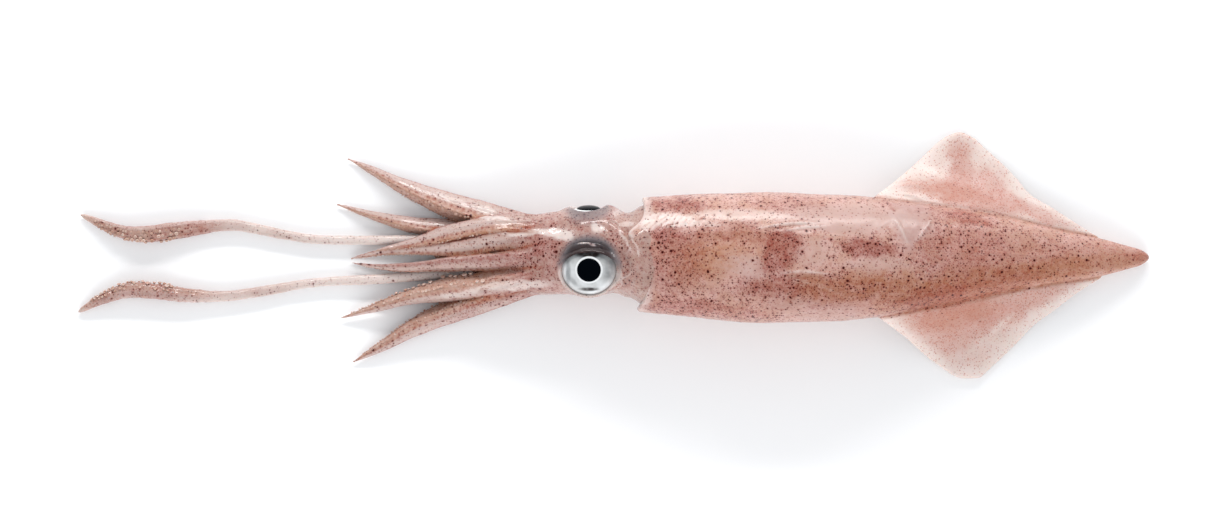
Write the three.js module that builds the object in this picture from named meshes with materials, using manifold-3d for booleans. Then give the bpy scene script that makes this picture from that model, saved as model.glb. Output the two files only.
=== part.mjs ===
// A whole raw squid, lying on its belly with its back up, rolled a little towards its right side.
// Millimetres. X runs from the tips of the tentacles to the tip of the tail, Y to the squid's right, Z up.
// The origin is on the surface it lies on, under the middle of its length and width.
//
// Pieces: the mantle with its two fins, the head with its arms, tentacles and funnel, and in each of
// the two eye sockets an eyeball with a lens.

import * as THREE from "three";
import { mergeVertices } from "three/addons/utils/BufferGeometryUtils.js";
import Module from "manifold-3d";

const wasm = await Module();
wasm.setup();

// ---------------------------------------------------------------- driving sizes

const MANTLE_LENGTH = 204; // tip of the front lobe to tip of the tail
const TAIL_X = 210.2;
const LOBE_REACH = 8; // of the front edge, in the middle of the back
const LOBE_SPREAD = 0.22; // half its width, in radians of the section
const CORNER_REACH = { right: 2.6, left: 4.6 }; // of the front edge, at its sides
const FRONT_SET_BACK = 3.9; // of the lowest stretch of the front edge, behind FRONT_X
const FRONT_X = TAIL_X - MANTLE_LENGTH + LOBE_REACH - FRONT_SET_BACK;
const WALL = 2.4; // flesh of the mantle at its open front
const CAVITY_DEPTH = 15; // how far the open front is hollow
const ROLL = THREE.MathUtils.degToRad(22); // turn of the back towards +Y
const GAP = 0.35; // between pieces that touch
const BELLY_SINK = 0.025; // share of the mantle's half height
const TAIL_TIP_HEIGHT = 2;
const TAIL_ROUNDING = 5;
const FIN_EDGE_HEIGHT = 1.1; // of the fins' outer edges over the surface
const FIN_ROOT_ANGLE = 0.13; // half the root's share of the mantle's section, in radians

// Half width, half height and sideways place of the mantle, each against X.
const MANTLE_HALF_WIDTH = [
  [FRONT_X, 22.4], [30, 24], [62, 25.6], [85, 24.7], [103, 23.4], [120, 20.8],
  [148, 15.8], [172, 10.8], [190, 7.7], [203, 4.2], [TAIL_X, 2.4],
];
const MANTLE_HALF_HEIGHT = [
  [FRONT_X, 17.5], [35, 19.2], [65, 20], [95, 18.8], [120, 15.8],
  [148, 11.8], [172, 8.3], [190, 5.9], [203, 3.6], [TAIL_X, 2.2],
];
const MANTLE_SWAY = [[FRONT_X, 0.6], [30, 0.1], [60, -0.6], [95, -0.8], [125, -0.1], [150, 0.6], [195, -0.6], [TAIL_X, -0.6]];

// Outer edge of each fin, as distance from Y = 0 against X.
const RIGHT_FIN = [
  [101.5, 22.6], [109, 28.4], [117.4, 35.4], [131, 47.1], [135.8, 48.6], [141, 46.6],
  [146, 42.1], [151.8, 36.9], [158, 30.6], [163, 24.6], [172.5, 18.6], [181, 13.1], [190, 7.6],
];
const LEFT_FIN = [
  [103.5, 24.2], [113.3, 31.2], [126.2, 42.1], [137.4, 48.1], [143, 48],
  [148.6, 43.3], [157.5, 35], [164.6, 27.5], [172.5, 21.7], [181, 15.1], [191, 8.8],
];

// Half width, half height, sideways place and height of the middle of the head and neck, against X.
const HEAD_HALF_WIDTH = [
  [-71, 0], [-68, 3.2], [-60, 6.8], [-50, 10], [-38, 13.2], [-29, 15.9], [-21.5, 16.3], [-10, 17.9],
  [-4, 17.6], [3.5, 16.5], [12, 17.5], [18, 15], [21, 0],
];
const HEAD_HALF_HEIGHT = [
  [-71, 0], [-68, 1.8], [-60, 4.4], [-50, 7], [-38, 10], [-29, 12.8], [-21.5, 14], [-10, 15.6],
  [-4, 15.2], [3.5, 14.2], [12, 14.2], [18, 12.5], [21, 0],
];
const HEAD_SWAY = [[-71, 0], [-50, 0.8], [-29, 0.9], [-10, 2.2], [-1, 2.5], [5, 0.4], [12, 0.3], [21, 0.3]];
const HEAD_MIDDLE = [
  [-71, 2.9], [-60, 5.1], [-50, 8.3], [-38, 11.2], [-21.5, 13.7], [-10, 15.3], [4, 15.7], [12, 16.9], [21, 17.1],
];

// Each arm: its height against its width, the way its sucker face looks, in degrees from +Y up over
// the top, its half width against the share of its length, and its route from head to tip.
const ARMS = [
  { name: "right_1", tall: 1, suckers: -160,
    half: [[0, 3.9], [0.35, 3.5], [0.5, 3], [0.65, 2], [0.8, 1.5], [0.91, 1.05], [0.97, 0.6], [1, 0.2]],
    route: [[-19, 6, 20], [-32.5, 7.3, 19.3], [-46, 6, 16.2], [-60, 3.3, 12], [-76, 2.5, 7.4], [-90, 1.7, 4], [-103, -0.9, 1.2]] },
  { name: "right_2", tall: 1, suckers: 160,
    half: [[0, 4.4], [0.3, 4.2], [0.45, 3.8], [0.6, 3.5], [0.7, 3], [0.8, 2.2], [0.88, 1.5], [0.95, 0.9], [1, 0.3]],
    route: [[-20, 9.4, 17], [-33, 12, 17], [-45, 12.3, 15], [-56, 10.6, 12], [-67, 8, 9], [-80, 4.7, 6], [-93, 2.4, 4.4]] },
  { name: "right_3", tall: 1, suckers: 152,
    half: [[0, 4.4], [0.3, 4.95], [0.45, 4.9], [0.65, 3.65], [0.8, 2.25], [0.91, 1.3], [0.97, 0.65], [1, 0.25]],
    route: [[-20, 7.8, 12], [-35, 11.9, 10.8], [-52, 16.5, 7], [-68, 21.6, 4.2], [-84, 28.2, 2.6], [-95, 33.8, 1.7], [-104.4, 38.1, 0.9]] },
  { name: "right_4", tall: 1, suckers: 152,
    half: [[0, 3.4], [0.3, 4.3], [0.45, 4.3], [0.55, 3.6], [0.65, 3.05], [0.8, 1.9], [0.91, 1.1], [0.97, 0.65], [1, 0.25]],
    route: [[-20, 3.3, 8], [-40, 7.1, 5.2], [-62, 10.4, 3.9], [-79, 12.4, 2.9], [-93, 15.6, 1.9], [-108.6, 20.2, 0.9]] },
  { name: "left_1", tall: 0.8, suckers: -105,
    half: [[0, 4.6], [0.3, 4.4], [0.42, 3.9], [0.55, 3.55], [0.65, 2.85], [0.8, 1.95], [0.91, 1.1], [0.97, 0.65], [1, 0.25]],
    route: [[-19, 0, 20.5], [-36, -0.9, 19.2], [-50, -1.9, 15.4], [-64.5, -2.8, 11], [-80, -4.1, 6.8], [-92, -4.1, 4], [-102.6, -2.8, 1.6]] },
  { name: "left_2", tall: 1, suckers: 36,
    half: [[0, 4.6], [0.35, 5], [0.5, 4.8], [0.57, 4.2], [0.65, 3.2], [0.8, 2.05], [0.91, 1.15], [0.97, 0.65], [1, 0.25]],
    route: [[-19, -5, 17.5], [-35, -8.5, 16], [-51, -12, 11.8], [-66, -13.9, 8.2], [-82, -17, 4.9], [-95, -20.9, 2.8], [-107.2, -24.4, 1.1]] },
  { name: "left_3", tall: 1, suckers: 30,
    half: [[0, 4], [0.3, 4.4], [0.45, 4.5], [0.55, 4.3], [0.65, 3.65], [0.8, 2.5], [0.91, 1.4], [0.97, 0.75], [1, 0.25]],
    route: [[-19, -8, 12], [-33, -11.6, 10.4], [-50, -17.6, 6.8], [-66, -23, 4.4], [-79, -28.7, 3.2], [-90, -35.1, 2.2], [-102.4, -41.6, 0.9]] },
  { name: "left_4", tall: 0.8, suckers: -90,
    half: [[0, 4.4], [0.3, 4], [0.6, 2.8], [0.85, 1.4], [1, 0.25]],
    route: [[-19, -6.3, 7.4], [-37, -8.2, 5.2], [-55, -11.4, 3.4], [-70, -14.2, 2.6], [-84, -17.2, 1.9], [-94, -19.8, 1]] },
];

// An arm's section: four faces, each with the way it looks, as its shares towards the suckers and
// sideways, and its distance from the middle in half widths. The power rounds the corners.
const ARM_FACES = [[1, 0, 0.94], [-0.25, 0.968, 0.6], [-0.25, -0.968, 0.6], [-1, 0, 1.05]];
const ARM_CORNER_POWER = 5;

// Each tentacle: a long even stalk with a spindle-shaped club at its end.
const TENTACLE_TALL = 0.85;
const TENTACLES = [
  { name: "right",
    half: [[0, 2.2], [0.3, 1.9], [0.42, 1.8], [0.52, 1.8], [0.62, 2.02], [0.7, 2.35], [0.75, 2.85], [0.8, 3.4],
      [0.85, 3.3], [0.9, 2.65], [0.93, 2.2], [0.96, 1.65], [0.98, 1.25], [1, 0.5]],
    route: [[-20, 3.4, 12.5], [-45, 6.3, 8.6], [-62, 6.7, 5], [-93, 6.2, 2.4], [-118, 6.6, 2.1], [-128, 8.1, 2.1],
      [-138, 10.1, 2.1], [-149, 12.1, 2.2], [-161, 11.4, 2.5], [-172, 10, 2.8], [-184, 8.6, 2.9], [-192, 9.2, 2.7],
      [-199, 11.5, 2.2], [-209.8, 16.3, 0.9]] },
  { name: "left",
    half: [[0, 2.2], [0.3, 2], [0.42, 1.9], [0.5, 1.75], [0.62, 2], [0.7, 2.15], [0.75, 2.75], [0.82, 3.2],
      [0.87, 3.25], [0.91, 2.8], [0.94, 2.3], [0.96, 1.8], [0.98, 1.35], [1, 0.5]],
    route: [[-20, -2.4, 12.5], [-45, -4.7, 8.8], [-62, -6.4, 5.2], [-93, -9.1, 2.4], [-118, -10.5, 2.1],
      [-135, -13.3, 2.1], [-152, -15.7, 2.2], [-167, -15.4, 2.6], [-180, -13.8, 2.9], [-190, -13.3, 2.9],
      [-199, -15.9, 2.3], [-205, -18.8, 1.7], [-210.7, -22.1, 0.9]] },
];

// The funnel under the neck, a flattened cone that opens forwards, and the hollow of its mouth.
const FUNNEL = { half: 7.5, narrowing: 0.45, tall: 0.5, route: [[15, -4, 7], [4, -6, 5], [-9, -8, 3.6]] };
const FUNNEL_MOUTH = { deep: 6, half: 3.2 };

// Each eye: its middle, how far it looks away from straight up towards +Y, in degrees,
// and the same for the opening between its lids.
const EYE_RADIUS = 11;
const EYE_DEPTH = 7; // radius along the way it looks
const LENS_RADIUS = 4.5;
const LENS_DEPTH = 1.5;
const LENS_PROUD = 0.5; // over the ball
const LID_THICKNESS = 1.2; // of the skin over the ball, with the gap
const LID_OPENING = { long: 12.5, high: 9.5, deep: 9 };
const EYES = [
  { name: "left", middle: [-9.8, -4.3, 24], look: -11, opening: -23 },
  { name: "right", middle: [-10, 12.3, 14.6], look: 80, opening: 86 },
];

// Mesh density
const AROUND_BACK = 19;
const AROUND_BELLY = 9;
const AROUND_FIN = 10;
const AROUND = AROUND_BACK + AROUND_BELLY + 2 * AROUND_FIN;
const TUBE_ROWS = 9;
const FIN_ROWS = 26;
const TIP_ROWS = 6;
const CAVITY_ROWS = 3;
const SKULL_ROWS = 20;
const SKULL_AROUND = 24;
const ARM_ROWS = 18;
const TENTACLE_ROWS = 38;
const LIMB_AROUND = 10;

// ---------------------------------------------------------------- helpers

// Reads a smooth curve through [place, value] pairs, with no overshoot between them.
function read(pairs, x) {
  const last = pairs.length - 1;
  if (x <= pairs[0][0]) return pairs[0][1];
  if (x >= pairs[last][0]) return pairs[last][1];
  const i = pairs.findIndex((pair) => pair[0] > x) - 1;
  const slope = (k) => (pairs[k + 1][1] - pairs[k][1]) / (pairs[k + 1][0] - pairs[k][0]);
  const tangent = (k) => {
    if (k === 0) return slope(0);
    if (k === last) return slope(last - 1);
    const before = slope(k - 1);
    const after = slope(k);
    return before * after <= 0 ? 0 : (2 * before * after) / (before + after);
  };
  const span = pairs[i + 1][0] - pairs[i][0];
  const t = (x - pairs[i][0]) / span;
  const rise = 3 * t * t - 2 * t * t * t;
  return (
    pairs[i][1] * (1 - rise) +
    pairs[i + 1][1] * rise +
    tangent(i) * span * t * (1 - t) * (1 - t) -
    tangent(i + 1) * span * t * t * (1 - t)
  );
}

// A closed three.js geometry as a solid.
function solidOf(geometry) {
  const bare = geometry.clone();
  bare.deleteAttribute("normal");
  bare.deleteAttribute("uv");
  const merged = mergeVertices(bare, 1e-4);
  return new wasm.Manifold(
    new wasm.Mesh({
      numProp: 3,
      vertProperties: merged.getAttribute("position").array,
      triVerts: new Uint32Array(merged.index.array),
    }),
  );
}

// The outer skin of a solid, without the hollows that joining its pieces has sealed.
function filled(solid) {
  return solid.decompose().reduce((best, piece) => (piece.volume() > best.volume() ? piece : best));
}

// A solid as a three.js geometry.
function geometryOf(solid) {
  const mesh = solid.getMesh();
  const geometry = new THREE.BufferGeometry();
  geometry.setAttribute("position", new THREE.BufferAttribute(mesh.vertProperties, 3));
  geometry.setIndex(new THREE.BufferAttribute(mesh.triVerts, 1));
  geometry.computeVertexNormals();
  return geometry;
}

// A closed skin from pole to pole: place(row, turn, point) sets the point at a row, and at a turn
// from 0 to 1 round it. Nothing goes below the surface that the squid lies on.
function loft(rows, around, place) {
  const geometry = new THREE.SphereGeometry(1, around, rows);
  const position = geometry.getAttribute("position");
  const point = new THREE.Vector3();
  for (let i = 0; i < position.count; i++) {
    const row = Math.floor(i / (around + 1));
    const turn = (i % (around + 1)) % around;
    place(row, turn / around, point);
    position.setXYZ(i, point.x, point.y, Math.max(point.z, 0));
  }
  return solidOf(geometry);
}

// A tapering limb along a route. half(t) is its half width at the share t of its length, and
// section(angle) the share of it at an angle from +Y up over the top.
function limb(route, rows, around, half, tall, section = () => 1) {
  const curve = new THREE.CatmullRomCurve3(
    route.map((p) => new THREE.Vector3(...p)), false, "centripetal",
  );
  const up = new THREE.Vector3(0, 0, 1);
  return loft(rows, around, (row, turn, point) => {
    const t = row / rows;
    const ahead = curve.getTangentAt(t);
    const side = new THREE.Vector3().crossVectors(ahead, up).normalize();
    const over = new THREE.Vector3().crossVectors(side, ahead);
    const angle = 2 * Math.PI * turn;
    const reach = half(t) * section(angle);
    point
      .copy(curve.getPointAt(t))
      .addScaledVector(side, reach * Math.cos(angle))
      .addScaledVector(over, reach * tall * Math.sin(angle));
  });
}

const rounded = (t, share) => Math.sqrt(Math.max(0, 1 - (1 - Math.min(t / share, 1)) ** 2));

// A ball flattened along the way that an eye looks.
function flatBall(eye, radius, depth, forward, extra = 0, sides = 24) {
  const geometry = new THREE.SphereGeometry(1, sides, sides / 2);
  geometry.rotateX(Math.PI / 2);
  geometry.scale(radius + extra, radius + extra, depth + extra);
  geometry.translate(0, 0, forward);
  geometry.rotateX(THREE.MathUtils.degToRad(-eye.look));
  geometry.translate(...eye.middle);
  return solidOf(geometry);
}

// ---------------------------------------------------------------- mantle with fins

// How far the front edge reaches forwards at an angle of the section: a blunt lobe in the middle
// of the back, and a shallow corner low on each side.
function frontReach(angle) {
  const fromBack = Math.atan2(Math.sin(angle - Math.PI / 2 + ROLL), Math.cos(angle - Math.PI / 2 + ROLL));
  const lobe = LOBE_REACH / (1 + (fromBack / LOBE_SPREAD) ** 2);
  const corner = Math.cos(angle) > 0 ? CORNER_REACH.right : CORNER_REACH.left;
  return lobe + corner * Math.cos(angle) ** 4 - FRONT_SET_BACK;
}

// Splits a turn round the section into an angle and a share of the fin's reach.
function sectionPlace(turn) {
  const step = turn * AROUND;
  const thin = (v) => Math.sign(v) * Math.sqrt(Math.abs(v));
  if (step < AROUND_BACK) {
    const angle = FIN_ROOT_ANGLE + (step / AROUND_BACK) * (Math.PI - 2 * FIN_ROOT_ANGLE);
    return { angle, out: 0, side: 0 };
  }
  if (step < AROUND_BACK + AROUND_FIN) {
    const v = 1 - (2 * (step - AROUND_BACK)) / AROUND_FIN;
    return { angle: Math.PI - FIN_ROOT_ANGLE * thin(v), out: 1 - Math.abs(v), side: -1 };
  }
  if (step < AROUND_BACK + AROUND_FIN + AROUND_BELLY) {
    const share = (step - AROUND_BACK - AROUND_FIN) / AROUND_BELLY;
    return { angle: Math.PI + FIN_ROOT_ANGLE + share * (Math.PI - 2 * FIN_ROOT_ANGLE), out: 0, side: 0 };
  }
  const v = -1 + (2 * (step - AROUND_BACK - AROUND_FIN - AROUND_BELLY)) / AROUND_FIN;
  return { angle: FIN_ROOT_ANGLE * thin(v), out: 1 - Math.abs(v), side: 1 };
}

// Height of the mantle's middle at X. The belly sinks a little below the surface and is cut flat there.
function mantleMiddle(x) {
  return Math.max(read(MANTLE_HALF_HEIGHT, x) * (1 - BELLY_SINK), TAIL_TIP_HEIGHT);
}

// A point of the mantle's skin at X, inset from the outside.
function mantlePoint(x, turn, inset, point) {
  const { angle, out, side } = sectionPlace(turn);
  const tail = rounded(TAIL_X - x, TAIL_ROUNDING);
  const halfWidth = Math.max(read(MANTLE_HALF_WIDTH, x) * tail - inset, 0);
  const halfHeight = Math.max(read(MANTLE_HALF_HEIGHT, x) * tail - inset, 0);
  const middle = mantleMiddle(x);
  const under = Math.sin(angle) < 0;
  const squareness = under ? 0.8 : 1;
  const across = Math.sign(Math.cos(angle)) * Math.abs(Math.cos(angle)) ** squareness;
  const upward = Math.sign(Math.sin(angle)) * Math.abs(Math.sin(angle)) ** squareness;
  let y = read(MANTLE_SWAY, x) + halfWidth * across;
  let z = middle + halfHeight * upward;
  if (side !== 0 && inset === 0) {
    const edge = side > 0 ? RIGHT_FIN : LEFT_FIN;
    const inFin = x > edge[0][0] && x < edge[edge.length - 1][0];
    const reach = inFin ? Math.max(read(edge, x) - Math.abs(read(MANTLE_SWAY, x) * side + halfWidth), 0) : 0;
    const distance = reach * out;
    const fall = 1 - Math.exp(-((distance / 13) ** 1.5));
    y += side * distance;
    z -= fall * Math.max(middle - FIN_EDGE_HEIGHT, 0);
  }
  const atFront = Math.exp(-((x - FRONT_X) / 9));
  point.set(x - frontReach(angle) * atFront, y, z);
}

function mantleSolid() {
  const stations = [];
  const finStart = LEFT_FIN[0][0] - 5;
  const finEnd = 192;
  for (let k = 0; k <= TIP_ROWS; k++) {
    stations.push([TAIL_X - (TAIL_X - finEnd) * (k / TIP_ROWS) ** 1.8, 0]);
  }
  for (let k = 1; k <= FIN_ROWS; k++) stations.push([finEnd + ((finStart - finEnd) * k) / FIN_ROWS, 0]);
  for (let k = 1; k <= TUBE_ROWS; k++) stations.push([finStart + ((FRONT_X - finStart) * k) / TUBE_ROWS, 0]);
  stations.push([FRONT_X - 0.4, WALL / 2], [FRONT_X, WALL]);
  for (let k = 1; k < CAVITY_ROWS; k++) {
    stations.push([FRONT_X + (CAVITY_DEPTH * k) / (CAVITY_ROWS - 1), WALL]);
  }
  const floor = FRONT_X + CAVITY_DEPTH;
  stations.push([floor, read(MANTLE_HALF_WIDTH, floor)]);
  return loft(stations.length - 1, AROUND, (row, turn, point) => {
    mantlePoint(stations[row][0], turn, stations[row][1], point);
    if (row === stations.length - 1) point.set(floor, 0, mantleMiddle(floor));
  });
}

// ---------------------------------------------------------------- head, arms, tentacles, funnel

function skullSolid() {
  const back = HEAD_HALF_WIDTH[HEAD_HALF_WIDTH.length - 1][0];
  const front = HEAD_HALF_WIDTH[0][0];
  return loft(SKULL_ROWS, SKULL_AROUND, (row, turn, point) => {
    const x = back + ((front - back) * (1 - Math.cos((Math.PI * row) / SKULL_ROWS))) / 2;
    const angle = 2 * Math.PI * turn;
    const squareness = Math.sin(angle) < 0 ? 0.85 : 1;
    const across = Math.sign(Math.cos(angle)) * Math.abs(Math.cos(angle)) ** squareness;
    const upward = Math.sign(Math.sin(angle)) * Math.abs(Math.sin(angle)) ** squareness;
    point.set(
      x,
      read(HEAD_SWAY, x) + read(HEAD_HALF_WIDTH, x) * across,
      read(HEAD_MIDDLE, x) + read(HEAD_HALF_HEIGHT, x) * upward,
    );
  });
}

// Share of an arm's half width at a turn from the way its suckers face: a wedge with rounded corners.
function armSection(turn) {
  const faces = ARM_FACES.map(([along, across, distance]) => {
    const closeness = (along * Math.cos(turn) + across * Math.sin(turn)) / distance;
    return Math.max(closeness, 0) ** ARM_CORNER_POWER;
  });
  return faces.reduce((sum, face) => sum + face, 0) ** (-1 / ARM_CORNER_POWER);
}

function armSolid(arm) {
  const suckerAngle = THREE.MathUtils.degToRad(arm.suckers);
  const half = (t) => read(arm.half, t) * rounded(t, 0.05) * rounded(1 - t, 0.01);
  return limb(arm.route, ARM_ROWS, LIMB_AROUND, half, arm.tall, (angle) => armSection(angle - suckerAngle));
}

function tentacleSolid(tentacle) {
  const half = (t) => read(tentacle.half, t) * rounded(t, 0.02) * rounded(1 - t, 0.01);
  return limb(tentacle.route, TENTACLE_ROWS, LIMB_AROUND, half, TENTACLE_TALL);
}

function funnelSolid() {
  const half = (t) => FUNNEL.half * rounded(t, 0.1) * rounded(1 - t, 0.06) * (1 - FUNNEL.narrowing * t);
  const outside = limb(FUNNEL.route, 10, 14, half, FUNNEL.tall);
  const hollow = new THREE.SphereGeometry(1, 12, 8);
  hollow.scale(FUNNEL_MOUTH.deep, FUNNEL_MOUTH.half, FUNNEL_MOUTH.half * FUNNEL.tall);
  hollow.translate(...FUNNEL.route[2]);
  return outside.subtract(solidOf(hollow));
}

// The opening between the lids: a long ball that stands on the eye.
function lidOpening(eye) {
  const geometry = new THREE.SphereGeometry(1, 24, 12);
  geometry.scale(LID_OPENING.long, LID_OPENING.high, LID_OPENING.deep);
  geometry.translate(0, 0, LID_OPENING.deep);
  geometry.rotateX(THREE.MathUtils.degToRad(-eye.opening));
  geometry.translate(...eye.middle);
  return solidOf(geometry);
}

function headSolid() {
  let head = skullSolid();
  for (const arm of ARMS) head = head.add(armSolid(arm));
  for (const tentacle of TENTACLES) head = head.add(tentacleSolid(tentacle));
  head = head.add(funnelSolid());
  for (const eye of EYES) head = head.add(flatBall(eye, EYE_RADIUS, EYE_DEPTH, 0, LID_THICKNESS));
  for (const eye of EYES) {
    head = head.subtract(flatBall(eye, EYE_RADIUS, EYE_DEPTH, 0, GAP));
    head = head.subtract(lidOpening(eye));
  }
  return filled(head);
}

// ---------------------------------------------------------------- eyes

function lensSolid(eye, extra = 0) {
  return flatBall(eye, LENS_RADIUS, LENS_DEPTH, EYE_DEPTH + LENS_PROUD - LENS_DEPTH, extra, 16);
}

function eyeballSolid(eye) {
  return flatBall(eye, EYE_RADIUS, EYE_DEPTH, 0).subtract(lensSolid(eye, GAP));
}

// ---------------------------------------------------------------- the squid

const skin = new THREE.MeshStandardMaterial({ color: 0xd3a79c, roughness: 0.35 });
const iris = new THREE.MeshStandardMaterial({ color: 0xc9cdcf, roughness: 0.25, metalness: 0.3 });
const lens = new THREE.MeshStandardMaterial({ color: 0x0b0e14, roughness: 0.1 });

const squid = new THREE.Group();

function add(name, solid, material) {
  const mesh = new THREE.Mesh(geometryOf(solid), material);
  mesh.name = name;
  squid.add(mesh);
}

add("mantle", mantleSolid(), skin);
add("head", headSolid(), skin);
for (const eye of EYES) {
  add(`eyeball_${eye.name}`, eyeballSolid(eye), iris);
  add(`lens_${eye.name}`, lensSolid(eye), lens);
}

export default squid;
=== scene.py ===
# %% [markdown]
# # A whole raw squid
#
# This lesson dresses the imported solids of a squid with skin, eyes and suckers. The solids are true in
# size and place but coarse. Each is replaced by a fine mesh of the same form, and the colours come from
# node materials that read a few values stored on the points of the mesh.
#
# Lengths in the making are millimetres, as in the solids. They turn into metres when a mesh is written.

import math

import bpy
import numpy as np
import openvdb
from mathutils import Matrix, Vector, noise


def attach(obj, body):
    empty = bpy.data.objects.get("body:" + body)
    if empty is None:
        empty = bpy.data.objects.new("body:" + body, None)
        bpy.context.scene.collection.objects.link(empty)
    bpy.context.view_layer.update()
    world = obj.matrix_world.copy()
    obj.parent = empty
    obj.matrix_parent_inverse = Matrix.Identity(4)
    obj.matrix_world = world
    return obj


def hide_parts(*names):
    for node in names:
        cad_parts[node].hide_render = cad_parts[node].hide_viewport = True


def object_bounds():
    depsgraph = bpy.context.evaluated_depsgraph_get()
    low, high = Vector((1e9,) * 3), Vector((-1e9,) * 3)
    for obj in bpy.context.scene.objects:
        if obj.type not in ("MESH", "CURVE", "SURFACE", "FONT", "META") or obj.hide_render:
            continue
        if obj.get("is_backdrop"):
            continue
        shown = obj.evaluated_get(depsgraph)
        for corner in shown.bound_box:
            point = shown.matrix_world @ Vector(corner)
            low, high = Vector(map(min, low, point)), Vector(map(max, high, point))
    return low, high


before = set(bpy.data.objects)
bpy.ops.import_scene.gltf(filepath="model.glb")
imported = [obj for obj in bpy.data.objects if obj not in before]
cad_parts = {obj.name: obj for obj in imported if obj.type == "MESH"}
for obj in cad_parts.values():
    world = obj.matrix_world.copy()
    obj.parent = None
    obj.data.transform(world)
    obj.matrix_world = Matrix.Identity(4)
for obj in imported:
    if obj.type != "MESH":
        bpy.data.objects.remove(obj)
SOLIDS_BOX = [list(corner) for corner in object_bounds()]
MM = 0.001
print("nodes", sorted(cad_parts))
print("box of the solids in mm", [[round(v / MM, 1) for v in corner] for corner in SOLIDS_BOX])

# %% [markdown]
# ## Camera, light and floor
#
# The squid is seen from straight above. A long lens far away keeps the outline nearly free of
# perspective. Wet skin is read by its highlights, so the light that matters most is a low strip on the
# side of the squid's back: it draws one long bright line along the mantle, the head and the arms.
# A pale world fills the shadows.

# %% Camera
scene = bpy.context.scene
SEEN_WIDTH = 0.480  # metres across the image at the height of the squid's middle
CAMERA_HEIGHT = 4.0
SQUID_MIDDLE = 0.010
VIEW_CENTRE = (-0.0008, -0.0014)
SENSOR_WIDTH = 36

camera = bpy.data.objects.new("camera", bpy.data.cameras.new("camera"))
camera.data.sensor_width = SENSOR_WIDTH
camera.data.lens = SENSOR_WIDTH * (CAMERA_HEIGHT - SQUID_MIDDLE) / SEEN_WIDTH
camera.location = (*VIEW_CENTRE, CAMERA_HEIGHT)
scene.collection.objects.link(camera)
scene.camera = camera
print("lens", round(camera.data.lens, 1), "mm")

# %% Lights and world
LIGHTS = {  # place and size in metres, watts and colour
    "strip light": ((0.02, 0.80, 0.42), (1.1, 0.10), 7.0, (1.0, 0.985, 0.97)),
    "window": ((0.0, 0.86, 0.52), (1.3, 0.6), 0.6, (1.0, 0.99, 0.98)),
    "bounce": ((0.0, -0.8, 0.45), (1.2, 0.6), 6.2, (1.0, 0.99, 0.98)),
}
for name, (place, size, watts, tint) in LIGHTS.items():
    lamp = bpy.data.lights.new(name, "AREA")
    lamp.shape = "RECTANGLE"
    lamp.size, lamp.size_y = size
    lamp.energy = watts
    lamp.color = tint
    holder = bpy.data.objects.new(name, lamp)
    holder.location = place
    holder.rotation_euler = (-math.atan2(place[1], place[2]), 0, 0)  # turned to face the squid
    holder.visible_glossy = name != "bounce"
    scene.collection.objects.link(holder)

world = bpy.data.worlds.new("pale room")
scene.world = world
world.use_nodes = True
background = world.node_tree.nodes["Background"].inputs
background["Color"].default_value = (0.95, 0.97, 1.0, 1)
background["Strength"].default_value = 0.67
world.cycles_visibility.glossy = False
scene.view_settings.view_transform = "Standard"
print("lights", list(LIGHTS))

# %% [markdown]
# ## Helpers for materials
#
# A material here is a tree of nodes. One helper adds a node and fills its inputs with numbers or links,
# and the small ones after it each stand for one common node. Colours are picked as the eye sees them
# and turned into the linear values that Blender mixes.

# %% Node helpers
def colour(red, green, blue):
    """Linear colour from the three 0 to 255 values that a screen shows."""
    def linear(value):
        value = value / 255
        return value / 12.92 if value <= 0.04045 else ((value + 0.055) / 1.055) ** 2.4

    return (linear(red), linear(green), linear(blue), 1.0)


def put(socket, value):
    """Links a socket to another, or sets its number, vector or colour."""
    if isinstance(value, bpy.types.NodeSocket):
        socket.id_data.links.new(value, socket)
    else:
        socket.default_value = value


def add_node(tree, kind, inputs=None, **settings):
    """Adds a node, with settings by name and inputs by name or number."""
    made = tree.nodes.new(kind)
    for name, value in settings.items():
        setattr(made, name, value)
    for key, value in (inputs or {}).items():
        put(made.inputs[key], value)
    return made


print("half of the screen's grey is", round(colour(128, 128, 128)[0], 2), "of the light")


# %% Helpers for numbers
def sum_up(tree, operation, first, second=0.0, third=None, clamp=False):
    """One Math node."""
    inputs = {0: first, 1: second}
    if third is not None:
        inputs[2] = third
    return add_node(tree, "ShaderNodeMath", inputs, operation=operation, use_clamp=clamp).outputs[0]


def times(tree, first, second, clamp=False):
    return sum_up(tree, "MULTIPLY", first, second, clamp=clamp)


def line(tree, value, slope, start):
    """A value times a slope, plus a start."""
    return sum_up(tree, "MULTIPLY_ADD", value, slope, start)


def ramp(tree, value, low, high, to_low=0.0, to_high=1.0):
    """A smooth step of a value between two limits."""
    return add_node(
        tree, "ShaderNodeMapRange",
        {"Value": value, "From Min": low, "From Max": high, "To Min": to_low, "To Max": to_high},
        interpolation_type="SMOOTHSTEP",
    ).outputs["Result"]


def stored(tree, name):
    """A value stored on the points of the mesh."""
    return add_node(tree, "ShaderNodeAttribute", attribute_name=name).outputs["Fac"]


# %% Helpers for places, noise and colours
def scaled(tree, vector, factor):
    return add_node(
        tree, "ShaderNodeVectorMath", {0: vector, "Scale": factor}, operation="SCALE"
    ).outputs[0]


def place_in_mm(tree):
    """The point on the piece, in millimetres."""
    return scaled(tree, add_node(tree, "ShaderNodeTexCoord").outputs["Object"], 1 / MM)


def cloud(tree, place, size, detail=2.0, roughness=0.5):
    """Soft noise with blobs of about the given size in millimetres."""
    return add_node(
        tree, "ShaderNodeTexNoise",
        {"Vector": place, "Scale": 1 / size, "Detail": detail, "Roughness": roughness},
    ).outputs["Fac"]


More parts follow.
